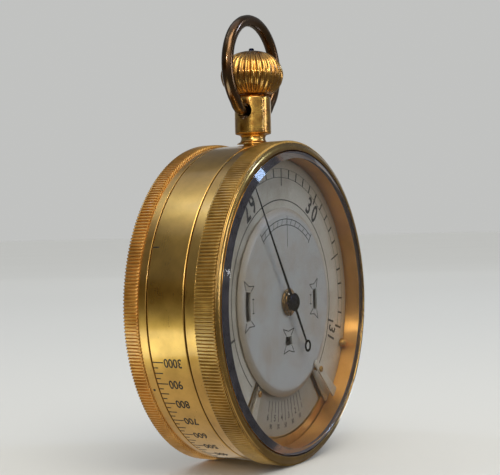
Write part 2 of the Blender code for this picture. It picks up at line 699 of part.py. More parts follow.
def rocking_shaft():
    """Cross shaft with its crank and the tall arm that pulls the chain, made as one piece."""
    outline = [
        (0, 8.7), (0.25, 8.7), (0.25, 7.4), (0.5, 7.4), (0.5, -7.4), (0.25, -7.4), (0.25, -8.7), (0, -8.7),
    ]
    shaft = turned("rocking_shaft", outline, 12, STEEL)
    shaft.rotation_euler = (0.0, math.pi / 2, 0.0)
    shaft.location = (0.0, depth_to_y(ROCKER_DEPTH), CENTRE[2] + ROCKER_Z * MM)
    high, low = CRANK_Z + 0.6, ROCKER_Z - 0.2
    crank_loop = [(-0.6, high), (0.6, high), (0.6, low), (-0.6, low)]
    crank = dial_plate("crank", [crank_loop], ROCKER_DEPTH - 0.2, ROCKER_DEPTH + 0.2, None, cutters)
    left, right = CHAIN_X - 0.45, CHAIN_X + 0.45
    arm = [(left, ROCKER_Z - 0.3), (right, ROCKER_Z - 0.3), (right, ROCKER_Z + 0.3), (left, ROCKER_Z + 0.3)]
    tall = dial_plate("chain_arm", [arm], CHAIN_DEPTH - 0.2, ROCKER_DEPTH, None, cutters)
    join(shaft, crank, tall)


def rocker_posts():
    """Two posts bored for the rocking shaft's pivots."""
    front, back = ROCKER_DEPTH - 0.8, BASE_FRONT - REST_GAP
    low, high = ROCKER_Z - 0.8, ROCKER_Z + 0.8
    rim = [(front, low), (back, low), (back, high), (front, high)]
    loops = [rim, circle(0.4, 12, ROCKER_DEPTH, ROCKER_Z)]
    side_plate("rocker_post_left", loops, -9.0, -7.6, INNER_BRASS)
    side_plate("rocker_post_right", loops, 7.6, 9.0, INNER_BRASS)


def arbor_bridge():
    """Bridge over the capsule with the arbor's rear pivot hole and a tab for the hairspring's stud."""
    end, half, tab = PILLAR_X + 1.6, 2.2, 5.6
    rim = [(-end, -half), (end, -half), (end, half), (1.8, half), (1.0, tab), (-1.0, tab), (-1.8, half),
           (-end, half)]
    loops = [rim, circle(0.4, 12), circle(0.55, 10, PILLAR_X, 0.0), circle(0.55, 10, -PILLAR_X, 0.0)]
    dial_plate("arbor_bridge", loops, BRIDGE_FRONT, BRIDGE_FRONT + BRIDGE_THICK, INNER_BRASS)


def bridge_pillars():
    """Two turned pillars between the base and the bridge."""
    top = BRIDGE_FRONT + BRIDGE_THICK + REST_GAP
    for side, x in (("left", -PILLAR_X), ("right", PILLAR_X)):
        outline = [(0, top), (1.3, top), (1.3, top + 0.6), (0.9, top + 0.9), (0.9, 14.6), (1.3, 14.8),
                   (1.3, BASE_FRONT - REST_GAP), (0, BASE_FRONT - REST_GAP)]
        dial_turned("bridge_pillar_" + side, outline, 16, INNER_BRASS, x=x)


def bridge_screws():
    """Two screws through the bridge into its pillars."""
    seat = BRIDGE_FRONT - REST_GAP
    head = seat - 0.6
    for side, x in (("left", -PILLAR_X), ("right", PILLAR_X)):
        outline = [(0, head), (1.05, head), (1.05, seat), (0.4, seat), (0.4, seat + 0.75), (0, seat + 0.75)]
        dial_turned("bridge_screw_" + side, outline, 12, STEEL, x=x)


def chain_drum():
    """Small drum on the arbor that winds the chain."""
    outline = [(0.55, 7.0), (1.3, 7.0), (1.3, 7.2), (DRUM_R, 7.3), (DRUM_R, 7.75), (1.3, 7.85), (1.3, 8.05),
               (0.55, 8.05)]
    dial_turned("chain_drum", outline, 16, INNER_BRASS, closed=True)


def chain():
    """Fine chain from the drum's side to the tall arm of the rocking shaft."""
    start, end = (-DRUM_R - 0.22, 0.0), (CHAIN_X, ROCKER_Z + 0.75)
    half = 0.1
    loop = [(start[0] - half, start[1]), (start[0] + half, start[1]), (end[0] + half, end[1]),
            (end[0] - half, end[1])]
    dial_plate("chain", [loop], CHAIN_DEPTH - 0.12, CHAIN_DEPTH + 0.12, STEEL)


def hairspring():
    """Flat spiral that keeps the chain taut."""
    turns, inner, outer, per_turn = 4.0, 1.6, 4.4, 14
    count = int(turns * per_turn)
    points = []
    for i in range(count + 1):
        share = i / count
        turn = math.tau * turns * share
        radius = inner + (outer - inner) * share
        points.append((radius * math.sin(turn), 0.0, radius * math.cos(turn), 1.0))
    place = (0.0, depth_to_y(8.45), CENTRE[2])
    bent_wire("hairspring", points, 0.1, BLUED, place, sides=0)


def hairspring_stud():
    """Post on the bridge that holds the hairspring's outer end."""
    dial_rod("hairspring_stud", 0.35, 8.1, BRIDGE_FRONT - REST_GAP, 10, INNER_BRASS, z=4.98)


def hairspring_collet():
    """Collet that holds the hairspring's inner end on the arbor."""
    outline = [(0.55, 8.3), (1.4, 8.3), (1.4, 8.6), (0.55, 8.6)]
    dial_turned("hairspring_collet", outline, 16, INNER_BRASS, closed=True)


def adjusting_screw():
    """Screw reached through the back that tips the spring's foot to set the hand."""
    tip = SPRING_FOOT + 0.2
    outline = [(0, tip), (0.7, tip), (0.7, 17.7), (0, 17.7)]
    dial_turned("adjusting_screw", outline, 12, STEEL, x=ADJUSTER_X, z=ADJUSTER_Z)


def balance_weight():
    """Balance weight on the rocking shaft."""
    outline = [(0.65, 1.0), (1.3, 1.0), (1.3, -1.0), (0.65, -1.0)]
    weight = turned("balance_weight", outline, 14, INNER_BRASS, closed=True)
    weight.rotation_euler = (0.0, math.pi / 2, 0.0)
    weight.location = (4.5 * MM, depth_to_y(ROCKER_DEPTH), CENTRE[2] + ROCKER_Z * MM)


case_band()
front_bezel()
glass()
rear_bezel()
back_cover()
back_screws()
pendant()
bow()
crown()
crown_stem()
stem_collar()
crown_pinion()
scale_plate()
centre_plate()
centre_bush()
bush_nut()
letter_disc()
contrate_ring()
disc_rivets()
sector_arms()
arm_screws()
dial_screws()
hand()
hand_collet()
hand_arbor()
movement_base()
aneroid_capsule()
capsule_stud()
mainspring()
spring_packing()
knife_edge()
main_lever()
connecting_link()
rocking_shaft()
rocker_posts()
arbor_bridge()
bridge_pillars()
bridge_screws()
chain_drum()
chain()
hairspring()
hairspring_stud()
hairspring_collet()
adjusting_screw()
balance_weight()
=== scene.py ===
# %% [markdown]
# # A ship barometer in pocket form
#
# This lesson dresses a plain CAD model of a small brass barometer. The CAD model already has every piece at
# its true size and place, so each step here takes one piece or one finish, says what it is on the real
# instrument, and shows one way to make it in Blender.
#
# First the CAD model is loaded.

# %% Load the CAD model
import math

import bpy
from mathutils import Matrix, Vector
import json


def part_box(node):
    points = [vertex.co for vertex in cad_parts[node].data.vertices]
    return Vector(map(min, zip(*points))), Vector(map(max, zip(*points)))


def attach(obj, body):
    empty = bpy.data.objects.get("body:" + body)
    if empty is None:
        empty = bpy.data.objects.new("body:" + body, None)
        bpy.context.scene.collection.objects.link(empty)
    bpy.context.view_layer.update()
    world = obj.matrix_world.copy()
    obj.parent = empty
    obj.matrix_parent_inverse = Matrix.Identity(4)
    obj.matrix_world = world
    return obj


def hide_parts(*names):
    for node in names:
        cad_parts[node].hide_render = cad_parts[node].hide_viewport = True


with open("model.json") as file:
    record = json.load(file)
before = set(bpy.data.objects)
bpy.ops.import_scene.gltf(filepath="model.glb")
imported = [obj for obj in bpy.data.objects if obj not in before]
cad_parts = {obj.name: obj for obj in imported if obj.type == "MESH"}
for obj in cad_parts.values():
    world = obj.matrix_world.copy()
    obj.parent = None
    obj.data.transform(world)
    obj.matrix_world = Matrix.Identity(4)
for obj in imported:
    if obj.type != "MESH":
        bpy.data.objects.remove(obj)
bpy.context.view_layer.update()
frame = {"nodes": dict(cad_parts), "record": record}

# %% [markdown]
# The case is a short cylinder that lies along Y. Its dial faces -Y, and its centre is 30 mm above the
# ground, so most places are given as a radius from that centre and a depth behind the front grip. Angles on
# the dial are read as on a clock: zero at the top, then clockwise.

# %% Measures
MM = 0.001
GLASS_PROUD = 1.3
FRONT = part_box("glass")[0].y + GLASS_PROUD * MM      # depths are measured from where the front grip begins
CENTRE = Vector((0.0, 0.0, 0.03))
TURNED_STEPS = 256                          # facets round a large turned piece
SMALL_STEPS = 64


def dial(radius, angle, depth):
    """A point in metres from a radius and depth in mm and a dial angle in degrees."""
    turn = math.radians(angle)
    x, z = radius * math.sin(turn), radius * math.cos(turn)
    return Vector((x * MM, FRONT + depth * MM, CENTRE.z + z * MM))


def radius_of(point):
    """Distance of a point from the case's axis, in mm."""
    return math.hypot(point.x - CENTRE.x, point.z - CENTRE.z) / MM


def depth_of(point):
    """Depth of a point behind the front of the front grip, in mm."""
    return (point.y - FRONT) / MM


def angle_of(point):
    """Dial angle of a point, in degrees."""
    return math.degrees(math.atan2(point.x - CENTRE.x, point.z - CENTRE.z))


print("depth 0 is at y =", round(FRONT * 1000, 2), "mm")

# %% [markdown]
# ## Modelling by hand
#
# An operator works on whatever is selected, so each piece starts with nothing selected. A turned piece
# begins as one vertex. It is extruded from point to point along half of the section, and the line is then
# spun round the axis, which is what a lathe does to brass. A Bevel modifier breaks the sharp edges, because
# no real edge is perfectly sharp, and the bright line on it is what makes metal look like metal.

# %% Modelling helpers
AXIS_OF = {"case": (0.0, 1.0, 0.0), "post": (0.0, 0.0, 1.0)}
SEAM = 0.000004                             # points closer than this are the same point


def deselect():
    """Leaves edit mode with nothing selected."""
    if bpy.context.object and bpy.context.object.mode != "OBJECT":
        bpy.ops.object.mode_set(mode="OBJECT")
    bpy.ops.object.select_all(action="DESELECT")


def only(piece):
    """Selects one piece and makes it the active one."""
    deselect()
    piece.select_set(True)
    bpy.context.view_layer.objects.active = piece
    return piece


def named(name):
    """Names the piece that was just added."""
    piece = bpy.context.object
    piece.name = name
    piece.data.name = name
    return piece


def settle(piece):
    """Puts a piece's place, turn and size into its mesh and leaves its object at the origin."""
    only(piece)
    bpy.ops.object.transform_apply(location=True, rotation=True, scale=True)
    return piece


def choose(piece, kind, test):
    """Enters edit mode with only the vertices or faces that pass the test selected."""
    only(piece)
    bpy.context.tool_settings.mesh_select_mode = (kind == "vertices", False, kind == "faces")
    mesh = piece.data
    for group in (mesh.vertices, mesh.edges, mesh.polygons):
        group.foreach_set("select", [False] * len(group))
    if kind == "faces":
        for face in mesh.polygons:
            face.select = test(face.center, face.normal)
    else:
        for vertex in mesh.vertices:
            vertex.select = test(vertex.co)
    bpy.ops.object.mode_set(mode="EDIT")


def finish_mesh(piece, bevel=0.0, segments=2, smooth=40.0):
    """Merges doubles, turns faces outwards, breaks sharp edges and shades the piece."""
    only(piece)
    bpy.ops.object.mode_set(mode="EDIT")
    bpy.ops.mesh.select_all(action="SELECT")
    bpy.ops.mesh.remove_doubles(threshold=SEAM)
    bpy.ops.mesh.normals_make_consistent(inside=False)
    bpy.ops.object.mode_set(mode="OBJECT")
    if bevel:
        modifier = piece.modifiers.new("edges", "BEVEL")
        modifier.width = bevel * MM
        modifier.segments = segments
        modifier.limit_method = "ANGLE"
        modifier.angle_limit = math.radians(25)
        modifier.use_clamp_overlap = True
        bpy.ops.object.modifier_apply(modifier=modifier.name)
    return shade(piece, smooth)


def shade(piece, smooth):
    """Shades a piece smooth up to an angle. A corner takes its largest face's normal, so flats stay flat."""
    only(piece)
    bpy.ops.object.shade_smooth_by_angle(angle=math.radians(smooth))
    modifier = piece.modifiers.new("flats", "WEIGHTED_NORMAL")
    modifier.mode = "FACE_AREA"
    modifier.weight = 100
    modifier.keep_sharp = True
    bpy.ops.object.modifier_apply(modifier=modifier.name)
    return piece


def draw_line(name, points):
    """Draws a line of edges by extruding one vertex from point to point."""
    deselect()
    bpy.ops.mesh.primitive_plane_add(size=MM)
    piece = named(name)
    bpy.context.tool_settings.mesh_select_mode = (True, False, False)
    bpy.ops.object.mode_set(mode="EDIT")
    bpy.ops.mesh.select_all(action="SELECT")
    bpy.ops.mesh.merge(type="CENTER")
    bpy.ops.transform.translate(value=points[0])
    for here, there in zip(points, points[1:]):
        bpy.ops.mesh.extrude_region_move(TRANSFORM_OT_translate={"value": there - here})
    return piece


def turn(name, outline, lathe="case", steps=TURNED_STEPS, bevel=0.05, closed=True, smooth=40.0,
         off_axis=(0.0, 0.0)):
    """Turns a half section. On the case it is (radius, depth); on the post it is (radius, height)."""
    if lathe == "case":
        centre = Vector((off_axis[0] * MM, 0.0, CENTRE.z + off_axis[1] * MM))
        points = [centre + Vector((r * MM, FRONT + d * MM, 0.0)) for r, d in outline]
    else:
        centre = CENTRE.copy()
        points = [centre + Vector((r * MM, 0.0, h * MM)) for r, h in outline]
    if closed:
        points.append(points[0])
    piece = draw_line(name, points)
    bpy.ops.mesh.select_all(action="SELECT")
    bpy.ops.mesh.remove_doubles(threshold=SEAM)
    bpy.ops.mesh.select_all(action="SELECT")
    bpy.ops.mesh.spin(steps=steps, angle=math.tau, center=centre, axis=AXIS_OF[lathe], use_auto_merge=True)
    bpy.ops.object.mode_set(mode="OBJECT")
    return settle(finish_mesh(piece, bevel, smooth=smooth))


def flat_plate(name, loops, front, back, bevel=0.03, segments=2):
    """A plate parallel to the dial: filled outlines, extruded from the front depth to the back one."""
    pieces = []
    for loop in loops:
        points = [Vector((x * MM, FRONT + front * MM, CENTRE.z + z * MM)) for x, z in loop]
        pieces.append(draw_line(name, points + [points[0]]))
        bpy.ops.mesh.select_all(action="SELECT")
        bpy.ops.mesh.remove_doubles(threshold=SEAM)
        bpy.ops.object.mode_set(mode="OBJECT")
    plate = join(name, pieces)
    bpy.ops.object.mode_set(mode="EDIT")
    bpy.ops.mesh.select_all(action="SELECT")
    bpy.ops.mesh.fill(use_beauty=True)
    bpy.ops.mesh.select_all(action="SELECT")
    bpy.ops.mesh.dissolve_limited(angle_limit=math.radians(1))
    bpy.ops.mesh.select_all(action="SELECT")
    bpy.ops.mesh.extrude_region_move(TRANSFORM_OT_translate={"value": (0.0, (back - front) * MM, 0.0)})
    bpy.ops.object.mode_set(mode="OBJECT")
    return settle(finish_mesh(plate, bevel, segments, 30.0))


def join(name, pieces):
    """Joins pieces into the first one."""
    only(pieces[0])
    for piece in pieces[1:]:
        piece.select_set(True)
    if len(pieces) > 1:
        bpy.ops.object.join()
    whole = bpy.context.object
    whole.name = name
    whole.data.name = name
    return whole


def repeat(name, model, places):
    """Copies a model to each place, a matrix, each copy with its own mesh, and joins the copies."""
    copies = []
    for place in places:
        copy = model.copy()
        copy.data = model.data.copy()
        copy.data.transform(place)
        bpy.context.collection.objects.link(copy)
        copies.append(copy)
    bpy.data.objects.remove(model, do_unlink=True)
    return join(name, copies)


def carve(piece, tool):
    """Cuts the tool out of a piece and throws the tool away."""
    only(piece)
    modifier = piece.modifiers.new("carve", "BOOLEAN")
    modifier.operation = "DIFFERENCE"
    modifier.solver = "EXACT"
    modifier.object = tool
    bpy.ops.object.modifier_apply(modifier=modifier.name)
    bpy.data.objects.remove(tool, do_unlink=True)
    return piece


def hand_over(piece, finishes, body, slot, *nodes):
    """Gives a piece its finish, the body that it rides on, and the CAD nodes that it stands for."""
    piece.data.materials.clear()
    for material in finishes if isinstance(finishes, tuple) else (finishes,):
        piece.data.materials.append(material)
    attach(piece, body)
    if nodes:
        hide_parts(*nodes)
    print(piece.name, "rides on", body, "with", len(piece.data.polygons), "faces")
    return piece


# %% [markdown]
# ## Finishes
#
# A finish is a small graph of nodes. Everything is driven by Object coordinates, which are metres here, so
# a pattern's scale can be worked out from a real size: a scale of 1000 repeats once a millimetre.

# %% Material helpers
PER_MM = 1000.0


def linear(hex_colour):
    """Turns an sRGB hex colour into the linear numbers that a shader takes."""
    channels = [int(hex_colour[i:i + 2], 16) / 255 for i in (1, 3, 5)]
    return (*[c / 12.92 if c <= 0.04045 else ((c + 0.055) / 1.055) ** 2.4 for c in channels], 1.0)


def add(owner, kind, inputs=None, **settings):
    """Adds one node. Settings are its options; inputs are its sockets, each a value or another's output."""
    node = owner.node_tree.nodes.new(kind)
    for option, value in settings.items():
        setattr(node, option, value)
    for socket, value in (inputs or {}).items():
        if isinstance(value, bpy.types.NodeSocket):
            owner.node_tree.links.new(value, node.inputs[socket])
        else:
            node.inputs[socket].default_value = value
    return node


def new_finish(name, roughness, metallic):
    """An empty finish: the material and its Principled shader."""
    material = bpy.data.materials.new(name)
    material.use_nodes = True
    shader = material.node_tree.nodes["Principled BSDF"]
    shader.inputs["Roughness"].default_value = roughness
    shader.inputs["Metallic"].default_value = metallic
    return material, shader


def wire(owner, output, socket):
    """Links an output to a socket."""
    owner.node_tree.links.new(output, socket)


# %% [markdown]
# ### Old gilt brass
#
# The case is brass that was turned, polished, gilded and then handled for a century. Four things tell the
# eye so. The colour shifts softly between rich gold and a browner, duller tarnish. Fine turning marks run
# round the case. There are small dark pits where the gilding has gone. And the shine varies, because
# handling polishes some parts and dulls others. Each of these is one noise pattern at its own real size.

# %% Old gilt brass


def gilt_brass(name, bright, dull, pit, roughness, grain, pits=0.45, blotch_mm=9.0, grain_depth=0.004):
    """Turned and gilded brass. The grain is a scale per axis: fine across the marks and coarse along them."""
    material, shader = new_finish(name, roughness, 1.0)
    shader.inputs["Coat Weight"].default_value = 1.0
    shader.inputs["Coat Roughness"].default_value = 0.14
    place = add(material, "ShaderNodeTexCoord").outputs["Object"]
    blotch = add(material, "ShaderNodeTexNoise", {"Vector": place, "Scale": PER_MM / blotch_mm, "Detail": 5.0,
                                                  "Roughness": 0.6})
    blotch_share = add(material, "ShaderNodeMapRange", {"Value": blotch.outputs["Fac"], "From Min": 0.38,
                                                        "From Max": 0.68})
    gold = add(material, "ShaderNodeMix", {0: blotch_share.outputs[0], 6: linear(bright), 7: linear(dull)},
               data_type="RGBA")
    speck = add(material, "ShaderNodeTexNoise", {"Vector": place, "Scale": PER_MM * 1.7, "Detail": 3.0,
                                                 "Roughness": 0.7})
    pit_share = add(material, "ShaderNodeMapRange", {"Value": speck.outputs["Fac"], "From Min": 0.66,
                                                     "From Max": 0.74, "To Max": pits})
    pitted = add(material, "ShaderNodeMix", {0: pit_share.outputs[0], 6: gold.outputs[2], 7: linear(pit)},
                 data_type="RGBA")
    wire(material, pitted.outputs[2], shader.inputs["Base Color"])
    stretched = add(material, "ShaderNodeMapping", {"Vector": place, "Scale": grain})
    marks = add(material, "ShaderNodeTexNoise", {"Vector": stretched.outputs[0], "Scale": 1.0, "Detail": 4.0,
                                                 "Roughness": 0.6})
    wear = add(material, "ShaderNodeTexNoise", {"Vector": place, "Scale": PER_MM / 4.0, "Detail": 4.0})
    shine = add(material, "ShaderNodeMath", {0: wear.outputs["Fac"], 1: 0.22, 2: roughness - 0.11},
                operation="MULTIPLY_ADD")
    duller = add(material, "ShaderNodeMath", {0: marks.outputs["Fac"], 1: 0.1, 2: shine.outputs[0]},
                 operation="MULTIPLY_ADD")
    wire(material, duller.outputs[0], shader.inputs["Roughness"])
    dents = add(material, "ShaderNodeMath", {0: pit_share.outputs[0], 1: -1.2, 2: marks.outputs["Fac"]},
                operation="MULTIPLY_ADD")
    bump = add(material, "ShaderNodeBump", {"Height": dents.outputs[0], "Strength": 0.35,
                                            "Distance": grain_depth * MM})
    wire(material, bump.outputs[0], shader.inputs["Normal"])
    return material


ROUND_CASE = (60.0, PER_MM * 9.0, 60.0)      # marks run round the case, about nine to a millimetre
ROUND_POST = (60.0, 60.0, PER_MM * 9.0)
band_brass = gilt_brass("old_gilt_brass_band", "#EEBE62", "#C49A48", "#3A2408", 0.27, ROUND_CASE, pits=0.3)
ring_brass = gilt_brass("old_gilt_brass_rings", "#E8BA62", "#BC9044", "#3A2206", 0.27, ROUND_CASE, pits=0.35)
lip_brass = gilt_brass("polished_gilt_brass_lip", "#DDB260", "#B08840", "#4A3010", 0.2, ROUND_CASE, pits=0.2)
front_knurl_brass = gilt_brass("old_gilt_brass_front_knurl", "#D8B468", "#A88440", "#2E1A04", 0.48,
                               (200.0, 200.0, 200.0), pits=0.5, blotch_mm=5.0)
rear_knurl_brass = gilt_brass("old_gilt_brass_rear_knurl", "#F0C070", "#CC9848", "#2E1A04", 0.48,
                              (200.0, 200.0, 200.0), pits=0.4, blotch_mm=5.0)
post_brass = gilt_brass("gilt_brass_pendant", "#F0C060", "#AC7430", "#4E2A08", 0.2, ROUND_POST, pits=0.8,
                        blotch_mm=1.6, grain_depth=0.02)
crown_brass = gilt_brass("gilt_brass_crown", "#E8B456", "#A87430", "#4A2806", 0.2, ROUND_POST, pits=0.3,
                         blotch_mm=4.0)
bow_bronze = gilt_brass("bronzed_wire", "#704A22", "#54401E", "#9C8048", 0.18, (400.0, 400.0, 400.0),
                        pits=0.5, blotch_mm=2.5)
# The wall round the dial still has its turning marks, and they draw a small light out into a long streak.
# Anisotropic does this. Its tangent runs round the case, and a quarter turn sets which way the streak runs.
wall_brass = gilt_brass("lacquered_brass_wall", "#FFBE68", "#E2A44E", "#5A3410", 0.29, ROUND_CASE, pits=0.15)
wall_shader = wall_brass.node_tree.nodes["Principled BSDF"]
wall_shader.inputs["Anisotropic"].default_value = 1.0
wall_shader.inputs["Anisotropic Rotation"].default_value = 0.25
wall_shader.inputs["Coat Weight"].default_value = 0.0
wall_turning = add(wall_brass, "ShaderNodeTangent", direction_type="RADIAL", axis="Y")
wire(wall_brass, wall_turning.outputs[0], wall_shader.inputs["Tangent"])
bush_brass = gilt_brass("tarnished_brass_bush", "#B89058", "#8A683C", "#3A2810", 0.22, (300.0, 300.0, 300.0),
                        pits=0.4, blotch_mm=1.5)
movement_brass = gilt_brass("movement_brass", "#C99A4C", "#9C7030", "#4A3010", 0.36, (300.0, 300.0, 300.0),
                            pits=0.2)
print("brass finishes:", band_brass.name, lip_brass.name, front_knurl_brass.name, post_brass.name)

# %% [markdown]
# ### Silvered dial
#
# A dial of this age is brass rubbed with silver chloride paste. It isn't shiny: it looks like fine matt
# paper with a faint sheen, cool grey in the middle and yellowed in soft patches and towards the edges. The
# dark brown at the rim of the scale plate is partly tarnish and partly painted shade, where the wall round
# the dial shades it. So it is only partly metallic, quite rough, and its stain is a slow noise mixed with
# the distance from the centre.

# %% Silvered dial


def silvered(name, clean, stain_and_rim_shade, edge_start, edge_end):
    """Silvered brass that yellows and darkens between two radii, in mm: tarnish, and painted shade on the
    scale plate.
    """
    material, shader = new_finish(name, 0.5, 0.35)
    place = add(material, "ShaderNodeTexCoord").outputs["Object"]
    centred = add(material, "ShaderNodeVectorMath", {0: place, 1: (0.0, 0.0, CENTRE.z)}, operation="SUBTRACT")
    flattened = add(material, "ShaderNodeVectorMath", {0: centred.outputs[0], 1: (1.0, 0.0, 1.0)},
                    operation="MULTIPLY")
    length = add(material, "ShaderNodeVectorMath", {0: flattened.outputs[0]}, operation="LENGTH")
    # Darker towards the rim: tarnish, and on the scale plate also painted shade of the wall that stands round
    # the dial.
    edge = add(material, "ShaderNodeMapRange", {"Value": length.outputs["Value"], "From Min": edge_start * MM,
                                                "From Max": edge_end * MM, "To Max": 0.6})
    stain = add(material, "ShaderNodeTexNoise", {"Vector": place, "Scale": PER_MM / 11.0, "Detail": 5.0,
                                                 "Roughness": 0.6})
    stain_share = add(material, "ShaderNodeMapRange", {"Value": stain.outputs["Fac"], "From Min": 0.45,
                                                       "From Max": 0.75, "To Max": 0.6})
    share = add(material, "ShaderNodeMath", {0: edge.outputs[0], 1: stain_share.outputs[0]},
                operation="MAXIMUM")
    base = add(material, "ShaderNodeMix", {0: share.outputs[0], 6: linear(clean), 7: linear(stain_and_rim_shade)},
               data_type="RGBA")
    grain = add(material, "ShaderNodeTexNoise", {"Vector": place, "Scale": PER_MM * 6.0, "Detail": 2.0})
    fine = add(material, "ShaderNodeMapRange", {"Value": grain.outputs["Fac"], "From Min": 0.3,
                                                "From Max": 0.7, "To Min": 0.9, "To Max": 1.06})
    grained = add(material, "ShaderNodeVectorMath", {0: base.outputs[2], "Scale": fine.outputs[0]},
                  operation="SCALE")
    fly = add(material, "ShaderNodeTexNoise", {"Vector": place, "Scale": PER_MM * 0.9, "Detail": 1.0})
    fly_share = add(material, "ShaderNodeMapRange", {"Value": fly.outputs["Fac"], "From Min": 0.77,
                                                     "From Max": 0.81, "To Max": 0.6})
    spotted = add(material, "ShaderNodeMix", {0: fly_share.outputs[0], 6: grained.outputs[0],
                                              7: linear("#4A3A2A")}, data_type="RGBA")
    wire(material, spotted.outputs[2], shader.inputs["Base Color"])
    bump = add(material, "ShaderNodeBump", {"Height": grain.outputs["Fac"], "Strength": 0.15,
                                            "Distance": 0.004 * MM})
    wire(material, bump.outputs[0], shader.inputs["Normal"])
    return material


# The scale plate's dark brown rim is partly tarnish and partly painted shade of the wall round the dial.
dial_silver = silvered("silvered_scale_plate", "#CCC8BC", "#766238", 21.4, 27.6)
centre_silver = silvered("silvered_centre_plate", "#BEC0C0", "#A8926C", 15.8, 17.2)
fan_silver = silvered("silvered_letter_disc", "#A8A398", "#94866A", 21.0, 26.0)
print("silvered finishes:", dial_silver.name, centre_silver.name, fan_silver.name)

# %% [markdown]
# ### Blued steel, plain steel, black wax and glass
#
# Blued steel is polished steel heated until it turns dark blue, so it is nearly black except where it
# catches the light. The engraved marks are filled with black wax, which is matt and slightly broken, and
# the cement that holds the glass is made in the same way. Glass needs two things: real refraction for the
# eye, and a clear path for shadows, or the dial under it would be too dark. Its ground bevel is a little
# cloudy, so a thin pale bloom is mixed into clear glass.

# %% Blued steel, steel, wax and glass


def plain_metal(name, colour, other, roughness, streak_mm):
    """A metal with a slow change of colour and fine polishing streaks."""
    material, shader = new_finish(name, roughness, 1.0)
    place = add(material, "ShaderNodeTexCoord").outputs["Object"]
    slow = add(material, "ShaderNodeTexNoise", {"Vector": place, "Scale": PER_MM / 3.0, "Detail": 3.0})
    base = add(material, "ShaderNodeMix", {0: slow.outputs["Fac"], 6: linear(colour), 7: linear(other)},
               data_type="RGBA")
    wire(material, base.outputs[2], shader.inputs["Base Color"])
    streak = add(material, "ShaderNodeTexNoise", {"Vector": place, "Scale": PER_MM / streak_mm,
                                                  "Detail": 4.0})
    shine = add(material, "ShaderNodeMath", {0: streak.outputs["Fac"], 1: 0.2, 2: roughness - 0.1},
                operation="MULTIPLY_ADD")
    wire(material, shine.outputs[0], shader.inputs["Roughness"])
    bump = add(material, "ShaderNodeBump", {"Height": streak.outputs["Fac"], "Strength": 0.2,
                                            "Distance": 0.003 * MM})
    wire(material, bump.outputs[0], shader.inputs["Normal"])
    return material


blued_steel = plain_metal("blued_steel", "#141A34", "#0A0C18", 0.25, 0.4)
# On a metal the specular tint is the colour of the shine at a glancing angle, so this one stays dark there.
blued_steel.node_tree.nodes["Principled BSDF"].inputs["Specular Tint"].default_value = linear("#20284C")
polished_steel = plain_metal("polished_steel", "#A9A9A8", "#86847E", 0.3, 0.3)
nickel_silver = plain_metal("nickel_silver", "#A8A598", "#8C8878", 0.35, 0.5)


def filling(name, roughness, dark, pale, patch_mm, detail, from_min, from_max):
    """A matt filling, such as wax or cement, in two mottled tones."""
    material, shader = new_finish(name, roughness, 0.0)
    place = add(material, "ShaderNodeTexCoord").outputs["Object"]
    mottle = add(material, "ShaderNodeTexNoise", {"Vector": place, "Scale": PER_MM / patch_mm,
                                                  "Detail": detail})
    share = add(material, "ShaderNodeMapRange", {"Value": mottle.outputs["Fac"], "From Min": from_min,
                                                 "From Max": from_max})
    tone = add(material, "ShaderNodeMix", {0: share.outputs[0], 6: linear(dark), 7: linear(pale)},
               data_type="RGBA")
    wire(material, tone.outputs[2], shader.inputs["Base Color"])
    return material


def clear_glass(name, roughness):
    """Colourless plate glass: the material and its Principled shader."""
    material, shader = new_finish(name, roughness, 0.0)
    shader.inputs["Base Color"].default_value = linear("#F4F6F8")
    shader.inputs["IOR"].default_value = 1.5
    shader.inputs["Transmission Weight"].default_value = 1.0
    return material, shader


black_wax = filling("black_engraving_wax", 0.55, "#15120E", "#4A4238", 0.4, 3.0, 0.5, 0.75)
dark_cement = filling("dark_glass_cement", 0.6, "#46404A", "#2E2A2C", 1.5, 2.0, 0.0, 1.0)

dial_glass, glass_shader = clear_glass("old_plate_glass", 0.02)
smear_place = add(dial_glass, "ShaderNodeTexCoord").outputs["Object"]
smear = add(dial_glass, "ShaderNodeTexNoise", {"Vector": smear_place, "Scale": PER_MM / 14.0, "Detail": 4.0})
smear_shine = add(dial_glass, "ShaderNodeMapRange", {"Value": smear.outputs["Fac"], "From Min": 0.4,
                                                     "From Max": 0.8, "To Min": 0.01, "To Max": 0.06})
wire(dial_glass, smear_shine.outputs[0], glass_shader.inputs["Roughness"])


def lets_light_by(material, surface):
    """A glass surface that casts no shadow, so that the dial is lit through it."""
    ray = add(material, "ShaderNodeLightPath")
    clear = add(material, "ShaderNodeBsdfTransparent")
    either = add(material, "ShaderNodeMixShader", {0: ray.outputs["Is Shadow Ray"], 1: surface.outputs[0],
                                                   2: clear.outputs[0]})
    wire(material, either.outputs[0], material.node_tree.nodes["Material Output"].inputs["Surface"])


lets_light_by(dial_glass, glass_shader)

ground_bevel, bevel_shader = clear_glass("ground_glass_bevel", 0.06)
bloom_place = add(ground_bevel, "ShaderNodeTexCoord").outputs["Object"]
bloom_noise = add(ground_bevel, "ShaderNodeTexNoise", {"Vector": bloom_place, "Scale": PER_MM / 2.0,
                                                       "Detail": 3.0})
bloom_share = add(ground_bevel, "ShaderNodeMapRange", {"Value": bloom_noise.outputs["Fac"], "From Min": 0.3,
                                                       "From Max": 0.7, "To Min": 0.05, "To Max": 0.1})
bloom = add(ground_bevel, "ShaderNodeBsdfDiffuse", {"Color": linear("#A4A0B0")})
bevel_seen = add(ground_bevel, "ShaderNodeMixShader", {0: bloom_share.outputs[0], 1: bevel_shader.outputs[0],
                                                       2: bloom.outputs[0]})
lets_light_by(ground_bevel, bevel_seen)
print("other finishes:", blued_steel.name, black_wax.name, dial_glass.name)

# %% [markdown]
# ## The case band
#
# The band is one turned ring. It could be a bevelled cylinder, but spinning its section gives the two seats
# and the grooves beside the rings in one go. The grooves matter: they are the thin dark lines that divide
# the case.

